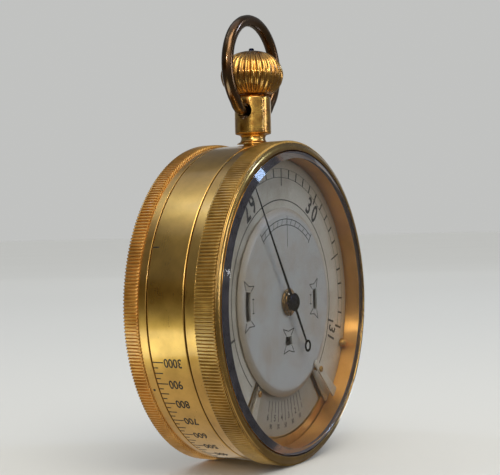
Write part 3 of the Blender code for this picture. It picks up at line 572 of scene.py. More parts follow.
# %% Case band
BAND_R = 29.5
BAND_FRONT, BAND_BACK = 5.9, 13.3
LEDGE_R = 23.1                              # a ledge inside, which shows beside the fan
band = turn("turned_case_band", [
    (LEDGE_R, 5.02), (25.2, 5.02), (25.2, 4.45), (28.0, 4.45), (28.0, BAND_FRONT), (29.4, BAND_FRONT),
    (BAND_R, 6.05), (BAND_R, 13.15), (29.4, BAND_BACK), (28.0, BAND_BACK), (28.0, 15.0), (27.2, 15.0),
    (27.2, 5.4), (LEDGE_R, 5.4)], bevel=0.04)
stem_hole = turn("stem_hole", [(0.0, 32.0), (2.1, 32.0), (2.1, 24.0), (0.0, 24.0)], "post", 48, 0.0,
                 closed=False)
carve(band, stem_hole)
hand_over(finish_mesh(band), band_brass, "case", "case_brass", "case_band")

# %% [markdown]
# ## The altitude marks
#
# The band is engraved with a scale of heights. Each mark is a fine cut filled with black wax. One bar is
# modelled for each of the three lengths, its edges are broken, and it is copied to all of its places. The
# figures are text made into a mesh: a flat figure is close enough to the curve here, because it is less
# than 2 mm high.

# %% Altitude marks
MARK_WIDTH, MARK_DEEP = 0.2, 0.05
MARKS_END = 13.15                           # every mark ends at this depth, beside the rear ring
MARK_START = {0: 11.05, 2: 11.55}           # whole and half hundreds have longer marks than quarters
QUARTER_START = 12.3
HIGHEST = 30                                # hundreds of feet
PENDANT_GAP = 6.0                           # no marks this many degrees either side of the pendant
INDEX_LONG, INDEX_AT = 1.3, (12.5, -68.3)   # one more line: its length, then its depth and dial angle


def bar(name, length, width, thick):
    """A small bar with broken edges, its length along X, its face up."""
    deselect()
    bpy.ops.mesh.primitive_cube_add(size=1.0)
    piece = named(name)
    bpy.ops.transform.resize(value=(length * MM, width * MM, thick * MM))
    settle(piece)
    bpy.ops.object.mode_set(mode="EDIT")
    bpy.ops.mesh.select_all(action="SELECT")
    bpy.ops.mesh.bevel(offset=0.15 * min(width, thick) * MM, segments=1, affect="EDGES")
    bpy.ops.object.mode_set(mode="OBJECT")
    return piece


def on_band(depth, angle, lift=0.02):
    """Places a flat shape on the band: X runs back along the case, Y runs up the dial angle, Z outwards."""
    out = dial(1.0, angle, 0.0) - dial(0.0, angle, 0.0)
    out.normalize()
    along = Vector((0.0, 1.0, 0.0))
    up = out.cross(along)
    place = dial(BAND_R - MARK_DEEP / 2 + lift, angle, depth)
    return Matrix((
        (along.x, up.x, out.x, place.x),
        (along.y, up.y, out.y, place.y),
        (along.z, up.z, out.z, place.z),
        (0.0, 0.0, 0.0, 1.0)))


def height_angle(hundreds):
    """Dial angle of a height in hundreds of feet: the marks crowd together a little as the air thins."""
    return 8.904 * hundreds - 0.0159 * hundreds ** 2


places = {}                                 # where the marks of each length go
for quarter in range(4 * HIGHEST + 1):
    angle = height_angle(quarter / 4)
    if min(angle, 360 - angle) >= PENDANT_GAP:
        start = MARK_START.get(quarter % 4, QUARTER_START)
        places.setdefault(start, []).append(on_band((MARKS_END + start) / 2, angle))
marks = [repeat("marks", bar("mark", MARKS_END - start, MARK_WIDTH, MARK_DEEP), places[start])
         for start in places]
marks.append(repeat("index_line", bar("line", INDEX_LONG, MARK_WIDTH, MARK_DEEP), [on_band(*INDEX_AT)]))
print("altitude marks:", {start: len(places[start]) for start in places})
hand_over(join("altitude_marks", marks), black_wax, "case", "case_brass")


def number(text, size, thick, narrow=1.0, bold=0.0, spacing=1.0):
    """A number as a flat mesh, centred, reading along X with its top towards Y."""
    deselect()
    bpy.ops.object.text_add()
    letters = bpy.context.object
    letters.data.body = text
    letters.data.size = size * MM
    letters.data.align_x = "CENTER"
    letters.data.align_y = "CENTER"
    letters.data.space_character = spacing
    letters.data.extrude = thick / 2 * MM
    letters.data.offset = bold * size * MM
    letters.data.resolution_u = 4
    bpy.ops.object.convert(target="MESH")
    piece = named("number_" + text)
    bpy.ops.object.mode_set(mode="EDIT")
    bpy.ops.mesh.select_all(action="SELECT")
    bpy.ops.mesh.remove_doubles(threshold=SEAM / 2)
    bpy.ops.object.mode_set(mode="OBJECT")
    piece.data.transform(Matrix.Diagonal((narrow, 1.0, 1.0, 1.0)))
    return piece


FIGURE_SIZE, FIGURES_END = 2.3, 10.9
figures = []
for hundreds in range(1, HIGHEST + 1):
    angle = height_angle(hundreds)
    feet = hundreds * 100
    text = "%d" % (feet if feet % 1000 == 0 else feet % 1000)
    piece = number(text, FIGURE_SIZE, MARK_DEEP, 0.8, 0.014)
    half = max(vertex.co.x for vertex in piece.data.vertices) / MM
    piece.data.transform(on_band(FIGURES_END - half, angle))
    figures.append(piece)
hand_over(join("altitude_figures", figures), black_wax, "case", "case_brass")

# %% [markdown]
# ## The two knurled rings
#
# Each ring is turned, and its grip is then knurled: a wheel presses straight ridges into it, 308 of them
# here. The ridges are modelled, not painted, because they make the sawtooth outline of the case. The grip
# is spun with four columns of faces to a ridge, and the columns that lie between ridges are scaled inwards.

# %% Knurled grips
RIDGES = 308
COLUMNS = 4 * RIDGES
KNURL_DEEP = 0.36


def knurled_grip(name, front, back, crest, foot):
    """A grip with straight ridges between two depths."""
    outline = [(foot, front), (crest - 0.25, front), (crest - 0.06, front + 0.13), (crest, front + 0.32),
               (crest, back - 0.32), (crest - 0.06, back - 0.13), (crest - 0.25, back), (foot, back)]
    grip = turn(name, outline, steps=COLUMNS, bevel=0.0, smooth=30.0)

    def between(point):
        column = round((angle_of(point) - 90.0) / 360.0 * COLUMNS)
        return column % 4 in (2, 3) and radius_of(point) > foot + 0.1

    choose(grip, "vertices", between)
    share = 1.0 - KNURL_DEEP / crest
    bpy.ops.transform.resize(value=(share, 1.0, share), center_override=CENTRE)
    bpy.ops.object.mode_set(mode="OBJECT")
    return shade(grip, 28)


front_grip = knurled_grip("front_ring_grip", -0.15, 3.65, 30.0, 28.8)
hand_over(front_grip, front_knurl_brass, "front_ring", "case_brass")
rear_grip = knurled_grip("rear_ring_grip", 15.2, 18.02, 30.0, 28.8)
hand_over(rear_grip, rear_knurl_brass, "back_ring", "case_brass")

# %% [markdown]
# The rest of the front ring has a polished lip that slopes up to the glass, a fine bead in a groove, and a
# plain skirt. Its inside is the wall that stands round the dial. The wall is more orange than the outside,
# because it still has its old lacquer, and the seat under the glass is dark with cement. So this one piece
# has four finishes, given to its faces by their radius and depth.

# %% Front ring
SEAT_R, SEAT_DEPTH = 28.2, 0.9              # the seat under the glass
WALL_R = 27.0                               # the wall that stands round the dial
front_ring = turn("front_ring_turned", [
    (SEAT_R, -0.5), (28.25, -0.68), (28.4, -0.75), (28.75, -0.72), (29.1, -0.6), (29.3, -0.46),
    (29.34, -0.38), (29.5, -0.4), (29.6, -0.32), (29.52, -0.22), (29.36, -0.18), (28.9, 0.0), (28.9, 3.5),
    (29.42, 3.68), (29.45, 3.8), (29.45, 5.6), (29.38, 5.7), (28.2, 5.7), (28.2, 4.3), (WALL_R, 4.3),
    (WALL_R, SEAT_DEPTH), (SEAT_R, SEAT_DEPTH)], bevel=0.04)
hand_over(front_ring, (ring_brass, lip_brass, wall_brass, dark_cement), "front_ring", "case_brass",
          "front_bezel")
for face in front_ring.data.polygons:
    radius, depth = radius_of(face.center), depth_of(face.center)
    if depth < -0.1 and radius > SEAT_R + 0.03:
        face.material_index = 1
    elif radius < WALL_R + 0.1 and depth > SEAT_DEPTH + 0.05:
        face.material_index = 2
    elif radius < SEAT_R + 0.05 and depth < SEAT_DEPTH + 0.07:
        face.material_index = 3
print("lip faces:", sum(face.material_index == 1 for face in front_ring.data.polygons))

# %% [markdown]
# The rear ring is simpler. A small punched dot on its skirt is the index that is set against the altitude
# marks.

# %% Rear ring and its index dot
DOT_AT = (14.4, -117.9)                     # depth and dial angle
rear_ring = turn("rear_ring_turned", [
    (28.2, 13.5), (29.38, 13.5), (29.45, 13.6), (29.45, 15.1), (29.38, 15.18), (28.9, 15.25), (28.9, 18.0),
    (29.4, 18.05), (29.25, 18.2), (27.2, 18.2), (27.2, 17.0), (26.0, 17.0), (26.0, 15.3), (28.2, 15.3)],
    bevel=0.05)
hand_over(rear_ring, ring_brass, "back_ring", "case_brass", "rear_bezel")

deselect()
bpy.ops.mesh.primitive_cylinder_add(vertices=20, radius=0.22 * MM, depth=0.06 * MM)
dot = named("rear_ring_index_dot")
choose(dot, "faces", lambda centre, normal: normal.z > 0.9)
bpy.ops.mesh.inset(thickness=0.06 * MM)
bpy.ops.transform.translate(value=(0.0, 0.0, -0.015 * MM))
bpy.ops.object.mode_set(mode="OBJECT")
dot.data.transform(on_band(*DOT_AT, lift=-0.02))
hand_over(finish_mesh(dot), black_wax, "back_ring", "case_brass")

# %% [markdown]
# ## The glass
#
# The glass is thick, flat and polished, with a bevel that stands proud of the lip. The bevel is what makes
# the dark band round the dial: it bends the light so that the eye sees the seat and not the dial. Its edge
# has to stay crisp, because a bevel shaded smooth bends the light where the glass is really flat. The bevel
# has the finish of ground glass, and the rim, which is cemented into the ring, has the brass of its wall.

# %% Glass
FLAT_R, GLASS_R = 26.7, 28.0                # where the bevel begins, and the glass's edge
BEVEL_FOOT, GLASS_BACK = -0.65, 0.7
glass = turn("bevelled_glass", [
    (0.0, -GLASS_PROUD), (FLAT_R, -GLASS_PROUD), (GLASS_R, BEVEL_FOOT), (GLASS_R, GLASS_BACK),
    (0.0, GLASS_BACK)], bevel=0.03, closed=False, smooth=12.0)
hand_over(glass, (dial_glass, ground_bevel, wall_brass), "front_ring", "dial_glass", "glass")
for face in glass.data.polygons:
    if radius_of(face.center) > FLAT_R + 0.05 and depth_of(face.center) < GLASS_BACK - 0.02:
        face.material_index = 1 if depth_of(face.center) < BEVEL_FOOT - 0.01 else 2
print("bevel faces:", sum(face.material_index == 1 for face in glass.data.polygons))

# %% [markdown]
# ## Pendant, bow and crown
#
# The pendant is a turned post. It is bored across for the bow's ends, so the cut comes after the turning.
# The real one is mottled where the gilding has worn through, which its own finish shows.

# %% Pendant
PIVOT = 35.9                                # height of the bow's pivot above the case's centre
pendant = turn("turned_pendant", [
    (1.25, 39.03), (2.7, 39.03), (2.8, 38.9), (3.1, 38.7), (3.36, 38.55), (3.45, 38.3), (3.45, 31.95),
    (3.35, 31.7), (3.05, 31.6), (2.5, 31.45), (2.32, 31.1), (2.32, 30.7), (2.5, 30.25), (3.05, 29.9),
    (3.1, 29.75), (1.9, 29.75), (1.9, 27.0), (1.25, 27.0)], "post", 96, 0.06)
deselect()
bpy.ops.mesh.primitive_cylinder_add(
    vertices=48, radius=1.5 * MM, depth=10 * MM, location=(0.0, 0.0, CENTRE.z + PIVOT * MM),
    rotation=(0.0, math.pi / 2, 0.0))
carve(pendant, settle(named("bow_holes")))
hand_over(finish_mesh(pendant, 0.04), post_brass, "case", "case_brass", "pendant")

# %% [markdown]
# The bow is a bent wire. A line is drawn along its middle, made into a curve, given thickness and made back
# into a mesh. Its ends turn in and thin down to pins that sit in the pendant's holes.

# %% Bow
BOW_R, WIRE_R = 9.0, 1.12
BOW_POINTS = 49
PIN_TAPER = [0.8, 0.82, 0.88, 0.95, 1.0]    # share of the wire's thickness, from the pin outwards
bow_middle = 53.05 - BOW_R
path = [(1.9, PIVOT), (3.4, PIVOT), (4.3, PIVOT + 0.05), (5.0, PIVOT + 0.3), (5.65, PIVOT + 0.85)]
for i in range(BOW_POINTS):
    turned_by = math.radians(45.0 + 270.0 * i / (BOW_POINTS - 1))
    path.append((BOW_R * math.sin(turned_by), bow_middle - BOW_R * math.cos(turned_by)))
path += [(-x, z) for x, z in path[4::-1]]
thickness = PIN_TAPER + [1.0] * BOW_POINTS + PIN_TAPER[::-1]
bow = draw_line("bent_bow", [CENTRE + Vector((x * MM, 0.0, z * MM)) for x, z in path])
bpy.ops.object.mode_set(mode="OBJECT")
bpy.ops.object.convert(target="CURVE")
bow = bpy.context.object
bow.data.bevel_depth = WIRE_R * MM
bow.data.bevel_resolution = 5
bow.data.use_fill_caps = True
for point, share in zip(bow.data.splines[0].points, thickness):
    point.radius = share
bpy.ops.object.convert(target="MESH")
bow = settle(finish_mesh(named("bent_bow"), 0.0, smooth=50.0))
hand_over(bow, bow_bronze, "bow", "bow_bronze", "bow")

# %% [markdown]
# The crown is an onion shape with 30 rounded ribs. It is turned smooth first. Then each column of points is
# scaled towards the axis by how far it lies from the top of its rib, most at the widest part and not at all
# on the cap, so the ribs fade out as they do on the real one.

# %% Crown
RIBS, RIB_COLUMNS = 30, 8
RIB_DEEP = 0.5
crown_rows = [(2.3, 47.12, 0.0), (2.9, 46.93, 0.35), (3.6, 46.6, 0.8), (4.3, 46.1, 1.0), (4.9, 45.5, 1.0),
              (5.35, 44.85, 1.0), (5.7, 44.05, 1.0), (5.9, 43.3, 1.0), (5.95, 42.7, 1.0), (5.85, 42.0, 1.0),
              (5.6, 41.2, 1.0), (5.15, 40.45, 1.0), (4.6, 39.85, 0.9), (4.1, 39.4, 0.5)]
crown = turn("ribbed_crown", [(0.6, 47.35), (1.6, 47.3)] + [(r, h) for r, h, _ in crown_rows] + [
    (3.7, 39.2), (3.4, 39.12), (1.15, 39.12), (1.15, 45.3), (0.6, 45.3)], "post", RIBS * RIB_COLUMNS, 0.0,
    smooth=50.0)
for radius, height, share in crown_rows:
    for step in range(1, RIB_COLUMNS // 2 + 1):
        inward = RIB_DEEP * share * (1.0 - math.cos(math.pi * step / RIB_COLUMNS))
        if inward == 0.0:
            continue

        def in_column(point):
            about_post = math.degrees(math.atan2(point.y, point.x)) + 180.0 / RIBS
            column = round(about_post / 360.0 * RIBS * RIB_COLUMNS)
            away = min(column % RIB_COLUMNS, -column % RIB_COLUMNS)
            return abs(point.z - CENTRE.z - height * MM) < 0.01 * MM and away == step

        choose(crown, "vertices", in_column)
        share_left = 1.0 - inward / radius
        bpy.ops.transform.resize(value=(share_left, share_left, 1.0), center_override=CENTRE)
bpy.ops.object.mode_set(mode="OBJECT")
hand_over(finish_mesh(crown, 0.0, smooth=55.0), crown_brass, "crown", "case_brass", "crown")

stem = turn("crown_stem_end", [(0.0, 47.9), (0.35, 47.9), (0.5, 47.75), (0.5, 45.1), (0.9, 45.1), (0.9, 20.7),
                               (0.0, 20.7)], "post", 32, 0.03, closed=False)
hand_over(stem, blued_steel, "crown", "steel", "crown_stem")

# %% [markdown]
# ## The dial
#
# The scale plate is a thin ring, cut away at the bottom to show the fan. The raised centre plate is turned,
# with a sloping edge, and has three windows. Both are silvered. Their marks are wax-filled cuts, made as
# thin shapes that are half sunk in the silver and stand 0.015 mm above it.

# %% Scale plate and centre plate
OPENING = (141.0, 219.0)
PLATE_FRONT, CENTRE_FRONT = 3.9, 3.0
SCREW_R, SCREW_ANGLE = 25.75, 112.0         # the two dial screws


def arc(radius, start, end, steps):
    """Flat (x, z) points along a dial arc, both ends included."""
    turns = [math.radians(start + (end - start) * i / steps) for i in range(steps + 1)]
    return [(radius * math.sin(t), radius * math.cos(t)) for t in turns]


def ring_of(radius, steps, x=0.0, z=0.0):
    """A closed loop of flat points."""
    return [(x + radius * math.cos(math.tau * i / steps), z + radius * math.sin(math.tau * i / steps))
            for i in range(steps)]


def flat(radius, angle):
    """One flat (x, z) point."""
    return (radius * math.sin(math.radians(angle)), radius * math.cos(math.radians(angle)))


plate_edge = arc(26.7, OPENING[1] - 360.0, OPENING[0], 160) + arc(16.9, OPENING[0], OPENING[1] - 360.0, 120)
screw_holes = [ring_of(0.5, 20, *flat(SCREW_R, side * SCREW_ANGLE)) for side in (1, -1)]
scale_plate = flat_plate("silvered_scale_plate", [plate_edge] + screw_holes, PLATE_FRONT, 4.3, 0.03)
hand_over(scale_plate, dial_silver, "case", "silvered_dial", "scale_plate")

centre_plate = turn("silvered_centre_plate", [
    (2.05, CENTRE_FRONT), (16.2, CENTRE_FRONT), (16.6, 3.06), (17.3, 3.45), (17.6, 3.6), (17.6, 3.7),
    (17.15, 3.7), (16.1, 3.35), (2.05, 3.35)], steps=192, bevel=0.03)
WINDOWS = ((270.0, 14.9), (90.0, 11.1), (180.0, 7.3))
WINDOW_TALL, WINDOW_SPAN = 1.65, 20.0
for middle, radius in WINDOWS:
    first, last = middle - WINDOW_SPAN / 2, middle + WINDOW_SPAN / 2
    loop = arc(radius + WINDOW_TALL / 2, first, last, 8) + arc(radius - WINDOW_TALL / 2, last, first, 8)
    carve(centre_plate, flat_plate("window", [loop], 2.5, 4.0, 0.0))
hand_over(finish_mesh(centre_plate), centre_silver, "case", "silvered_dial", "centre_plate")

# %% [markdown]
# The scale of inches is numbered at 29, 30 and 31. Two fine arcs with a mark at every tenth between them
# make a ladder, and the whole and half inches have longer marks. The arcs are drawn as rings cut to length.

# %% Scale marks
WAX_THICK = 0.03
INCH = 70.3                                 # degrees to an inch
SCALE_TURN = 105.5                          # degrees from the top to either end of the scale
SCALE_OUTER, SCALE_INNER = 24.95, 23.3      # the two arcs of the ladder
FIGURE_ARC = 19.1                           # one bolder arc, inside the figures
LONG_MARKS = {0: (22.4, 0.45), 5: (21.7, 0.28)}      # inner radius and width at whole and half inches
TENTH_WIDTH = 0.34


def wax_arc(radius, start, end, width, front, steps=90):
    """A thin wax-filled arc on a flat face."""
    loop = arc(radius + width / 2, start, end, steps) + arc(radius - width / 2, end, start, steps)
    return flat_plate("wax_arc", [loop], front - WAX_THICK / 2, front + WAX_THICK / 2, 0.0)


def wax_line(start, end, width, front):
    """A thin straight wax-filled line between two flat points."""
    (x1, z1), (x2, z2) = start, end
    length = math.hypot(x2 - x1, z2 - z1)
    side_x, side_z = -(z2 - z1) / length * width / 2, (x2 - x1) / length * width / 2
    loop = [(x1 + side_x, z1 + side_z), (x2 + side_x, z2 + side_z), (x2 - side_x, z2 - side_z),
            (x1 - side_x, z1 - side_z)]
    return flat_plate("wax_line", [loop], front - WAX_THICK / 2, front + WAX_THICK / 2, 0.0)


def round_dial(angle):
    """Turns a shape at the top of the dial clockwise to an angle."""
    middle = Matrix.Translation(CENTRE)
    return middle @ Matrix.Rotation(math.radians(angle), 4, "Y") @ middle.inverted()


def on_dial(radius, angle, front, turned=None):
    """Places a flat shape on the dial with its top outwards."""
    place = dial(radius, angle, front)
    lean = math.radians(angle if turned is None else turned)
    return Matrix.Translation(place) @ Matrix.Rotation(lean, 4, "Y") @ Matrix.Rotation(math.pi / 2, 4, "X")


scale_marks = [wax_arc(SCALE_OUTER, -SCALE_TURN, SCALE_TURN, 0.06, PLATE_FRONT),
               wax_arc(SCALE_INNER, -SCALE_TURN, SCALE_TURN, 0.1, PLATE_FRONT),
               wax_arc(FIGURE_ARC, OPENING[1] - 360.0 + 2.0, OPENING[0] - 2.0, 0.2, PLATE_FRONT, 120)]
places = {}                                 # where the marks of each kind go
for tenth in range(31):
    mark = LONG_MARKS.get(tenth % 10, (SCALE_INNER, TENTH_WIDTH))
    places.setdefault(mark, []).append(round_dial(-SCALE_TURN + tenth * INCH / 10))
for inner, width in places:
    model = wax_line((0.0, inner), (0.0, SCALE_OUTER), width, PLATE_FRONT)
    scale_marks.append(repeat("ladder_marks", model, places[inner, width]))
for side in (-SCALE_TURN, SCALE_TURN):
    scale_marks.append(wax_line(flat(18.9, side - 1.5), flat(21.4, side - 1.5), 0.4, PLATE_FRONT))
hand_over(join("scale_marks", scale_marks), black_wax, "case", "silvered_dial")

scale_numbers = []
for text, angle, size in (("29", -34.9, 5.0), ("30", 35.2, 5.0), ("31", 110.5, 3.9)):
    piece = number(text, size, WAX_THICK, 0.78, 0.022, 1.4 if size > 4.0 else 1.1)
    piece.data.transform(on_dial(21.0, angle, PLATE_FRONT))
    scale_numbers.append(piece)
hand_over(join("scale_numbers", scale_numbers), black_wax, "case", "silvered_dial")

# %% [markdown]
# The centre plate has an arc with a row of small hatches, an upright index line, and a little engraved
# frame at each end of its windows.

# %% Centre plate marks
HATCH_OUTER, HATCH_INNER = 15.5, 14.4
HATCH_ENDS = (-38.0, 38.5)
HATCH_STEP, HATCH_LEAN = 6.6, 1.2           # degrees from hatch to hatch, and each way from its middle
centre_marks = [wax_arc(radius, *HATCH_ENDS, 0.15, CENTRE_FRONT, 40) for radius in (HATCH_OUTER, HATCH_INNER)]
centre_marks.append(wax_line(flat(16.2, 1.0), (0.25, 10.3), 0.12, CENTRE_FRONT))
for angle in HATCH_ENDS:
    centre_marks.append(wax_line(flat(13.9, angle), flat(16.1, angle), 0.18, CENTRE_FRONT))
hatch = wax_line(flat(HATCH_INNER, -HATCH_LEAN), flat(HATCH_OUTER, HATCH_LEAN), 0.12, CENTRE_FRONT)
centre_marks.append(repeat("hatches", hatch, [round_dial(step * HATCH_STEP) for step in range(-5, 6)]))


def frame_end(corners, tips):
    """One flared end of a window's frame: two sides, and a far edge that dips in the middle."""
    (near_a, near_b), (tip_a, tip_b) = corners, tips
    middle = [(tip_a[k] + tip_b[k]) / 2 for k in (0, 1)]
    inward = [(near_a[k] + near_b[k]) / 2 for k in (0, 1)]
    dip = tuple(middle[k] + 0.35 * (inward[k] - middle[k]) for k in (0, 1))
    return [wax_line(start, end, 0.17, CENTRE_FRONT)
            for start, end in ((near_a, tip_a), (near_b, tip_b), (tip_a, dip), (dip, tip_b))]


for middle, radius in WINDOWS:
    inner, outer, half = radius - WINDOW_TALL / 2, radius + WINDOW_TALL / 2, WINDOW_SPAN / 2
    if middle == 180.0:                      # the low window is flared above and below
        for near, far in ((inner - 0.1, inner - 1.5), (outer + 0.1, outer + 1.4)):
            corners = [flat(near, middle + side * half * 0.8) for side in (-1, 1)]
            tips = [(side * -2.1, -far) for side in (-1, 1)]
            centre_marks += frame_end(corners, tips)
    else:
        for side in (-1, 1):
            near = middle + side * (half + 0.5)
            far = middle + side * (half + math.degrees(1.5 / radius))
            corners = (flat(inner, near), flat(outer, near))
            tips = (flat(inner - 0.95, far), flat(outer + 0.95, far))
            centre_marks += frame_end(corners, tips)
        inside = inner - 1.0
        ends = (middle - half * 0.55, middle + half * 0.55)
        for angle in ends:
            centre_marks.append(
                wax_line(flat(inside - 0.3, angle), flat(inside + 0.3, angle), 0.22, CENTRE_FRONT))
        centre_marks.append(wax_arc(inside, *ends, 0.1, CENTRE_FRONT, 6))
hand_over(join("centre_plate_marks", centre_marks), black_wax, "case", "silvered_dial")

# %% [markdown]
# ## The letter disc and its fan
#
# Under the centre plate lies a thin disc that the crown turns. Dark blocks on it pass behind the windows,
# and a fan-shaped blade on it shows in the opening at the bottom of the dial, with radial lines and plain
# figures.

# %% Letter disc
DISC_FRONT = 4.6
BLADE = (143.5, 213.4)
disc_edge = arc(24.9, BLADE[0], BLADE[1], 48) + arc(17.0, BLADE[1], BLADE[0] + 360.0, 120)
letter_disc = flat_plate("silvered_letter_disc", [disc_edge, ring_of(2.05, 48)], DISC_FRONT, 4.9, 0.03)
hand_over(letter_disc, fan_silver, "letter_disc", "silvered_dial", "letter_disc")

BLOCK_SPAN, BLOCK_STEP, BLOCK_TALL = 5.6, 6.4, 1.5   # degrees, degrees and mm
disc_marks = []
for middle, radius in WINDOWS:
    block = wax_arc(radius, -BLOCK_SPAN / 2, BLOCK_SPAN / 2, BLOCK_TALL, DISC_FRONT, 4)
    places = [round_dial(middle + step * BLOCK_STEP) for step in range(-3, 4)]
    disc_marks.append(repeat("blocks", block, places))
FAN_LINES, FAN_START, FAN_STEP = 11, 159.5, 3.6      # lines on the fan, and their dial angles
for step in range(FAN_LINES):
    angle = FAN_START + step * FAN_STEP
    disc_marks.append(wax_line(flat(18.5, angle), flat(20.6, angle), 0.14, DISC_FRONT))
    if step % 2 == 0:
        piece = number(str(step // 2 + 1), 1.7, WAX_THICK, 0.8, 0.01)
        piece.data.transform(on_dial(21.6, angle, DISC_FRONT, angle + 180.0))
    else:
        disc_marks.append(wax_line(flat(20.6, angle), flat(22.3, angle), 0.14, DISC_FRONT))
        piece = number(str(step * 10), 1.3, WAX_THICK, 0.75, 0.01)
        piece.data.transform(on_dial(23.2, angle, DISC_FRONT, angle + 180.0))
    disc_marks.append(piece)
hand_over(join("letter_disc_marks", disc_marks), black_wax, "letter_disc", "silvered_dial")

# %% [markdown]
# Two small silvered arms mark the opening: one on the fan and one on the dial. Each is a tapered bar with a
# screw at its narrow end.

# %% Arms and dial screws
# Each arm has its inner and outer end and its screw as (radius, dial angle), its front's depth and its body.
ARMS = {"moving_arm": (((17.3, 211.5), (24.8, 210.0)), (18.7, 211.2), 4.05, "letter_disc"),
        "fixed_arm": (((15.7, 140.5), (26.3, 136.5)), (18.1, 139.2), 2.5, "case")}


def slotted_screw(name, place, outline, slot_wide, slot_deep, slot_turn):
    """A turned screw with a slot across its head. Its outline is (radius, depth)."""
    screw = turn(name, outline, steps=40, bevel=0.03, closed=False, off_axis=place)
    head_r = max(r for r, _ in outline)
    face = outline[0][1]
    deselect()
    bpy.ops.mesh.primitive_cube_add(
        size=1.0, location=(place[0] * MM, FRONT + face * MM, CENTRE.z + place[1] * MM),
        rotation=(0.0, math.radians(slot_turn), 0.0))
    slot = named("slot")
    slot.scale = (head_r * 2.4 * MM, slot_deep * 2 * MM, slot_wide * MM)
    carve(screw, settle(slot))
    return finish_mesh(screw, 0.0)


for name, (ends, screw_at, front, body) in ARMS.items():
    (in_x, in_z), (out_x, out_z) = (flat(*end) for end in ends)
    length = math.hypot(out_x - in_x, out_z - in_z)
    along_x, along_z = (out_x - in_x) / length, (out_z - in_z) / length
    loop = []
    for reach, side in ((0.0, -0.45), (0.12, -0.8), (0.4, -1.0), (length - 0.15, -1.0), (length, -0.9),
                        (length, 0.9), (length - 0.15, 1.0), (0.4, 1.0), (0.12, 0.8), (0.0, 0.45)):
        half = (0.6 + 0.45 * reach / length) * side
        loop.append((in_x + along_x * reach - along_z * half, in_z + along_z * reach + along_x * half))
    arm_hole = ring_of(0.45, 20, *flat(*screw_at))
    arm = flat_plate("silvered_" + name, [loop, arm_hole], front, front + 0.35, 0.06, 3)
    hand_over(arm, dial_silver, body, "silvered_dial", name)
    end_depth = 4.45 if body == "letter_disc" else 3.75
    screw = slotted_screw(name + "_slotted_screw", flat(*screw_at), [
        (0.0, front - 0.4), (0.4, front - 0.38), (0.58, front - 0.28), (0.6, front - 0.1), (0.3, front - 0.1),
        (0.3, end_depth), (0.0, end_depth)], 0.16, 0.12, 25.0)
    hand_over(screw, movement_brass, body, "movement_brass", name + "_screw")

for side, angle in (("right", SCREW_ANGLE), ("left", -SCREW_ANGLE)):
    screw = slotted_screw("dial_screw_domed_" + side, flat(SCREW_R, angle), [
        (0.0, 2.6), (0.3, 2.63), (0.6, 2.78), (0.8, 3.05), (0.85, 3.3), (0.85, 3.75), (0.35, 3.75),
        (0.35, 4.2), (0.0, 4.2)], 0.2, 0.2, angle)
    hand_over(screw, movement_brass, "case", "movement_brass", "dial_screw_" + side)

# %% [markdown]
# ## Bush, hand and collet
#
# The hand is the finest piece on the dial: a needle of blued steel that swells a little at its boss and
# ends in a small ring. It is drawn flat, pointing where it stands at rest, and given its thickness. Its
# collet is a small domed cap, and the stepped brass bush under it guards the arbor.

# %% Bush, hand and collet
bush = turn("stepped_centre_bush", [
    (0.8, 2.25), (1.6, 2.25), (1.85, 2.38), (1.9, 2.5), (2.45, 2.56), (2.6, 2.68), (2.6, 2.85), (1.85, 2.85),
    (1.85, 5.8), (0.8, 5.8)], steps=SMALL_STEPS, bevel=0.03)
hand_over(bush, bush_brass, "case", "movement_brass", "centre_bush")

HAND_ANGLE = -32.5
HAND_TIP, HAND_TAIL = 24.9, 10.2
RING_OUT, RING_IN = 1.15, 0.74
ahead, beside = flat(1.0, HAND_ANGLE), flat(1.0, HAND_ANGLE + 90.0)


def on_hand(along, across):
    """A flat point from a distance along the hand and one across it."""
    return (ahead[0] * along + beside[0] * across, ahead[1] * along + beside[1] * across)


half = [(HAND_TIP, 0.05), (18.0, 0.11), (8.0, 0.19), (2.2, 0.27), (1.5, 0.45)]
half += [(1.4 * math.cos(math.radians(t)), 1.4 * math.sin(math.radians(t))) for t in range(32, 150, 12)]
half += [(-1.5, 0.45), (-2.2, 0.27), (-HAND_TAIL + RING_OUT + 0.25, 0.17),
         (-HAND_TAIL + RING_OUT - 0.02, 0.22)]
half += [(-HAND_TAIL + RING_OUT * math.cos(math.radians(t)), RING_OUT * math.sin(math.radians(t)))
         for t in range(18, 180, 9)]
outline = [on_hand(a, c) for a, c in half] + [on_hand(a, -c) for a, c in reversed(half)]
tail_ring = ring_of(RING_IN, 32, *on_hand(-HAND_TAIL, 0.0))
needle = flat_plate("blued_hand", [outline, ring_of(0.62, 24), tail_ring], 1.75, 1.95, 0.03)
hand_over(needle, blued_steel, "hand", "blued_steel", "hand")

collet = turn("domed_collet", [
    (0.0, 1.0), (0.5, 1.02), (0.95, 1.1), (1.35, 1.24), (1.6, 1.42), (1.7, 1.55), (1.7, 1.65), (0.0, 1.65)],
    steps=SMALL_STEPS, bevel=0.02, closed=False)
hand_over(collet, blued_steel, "hand", "blued_steel", "hand_collet")

# %% [markdown]
# ## The back
#
# The back is a flat polished cover. Three countersunk screws hold the movement to it, and a small hole
# gives a screwdriver a way to the adjusting screw.

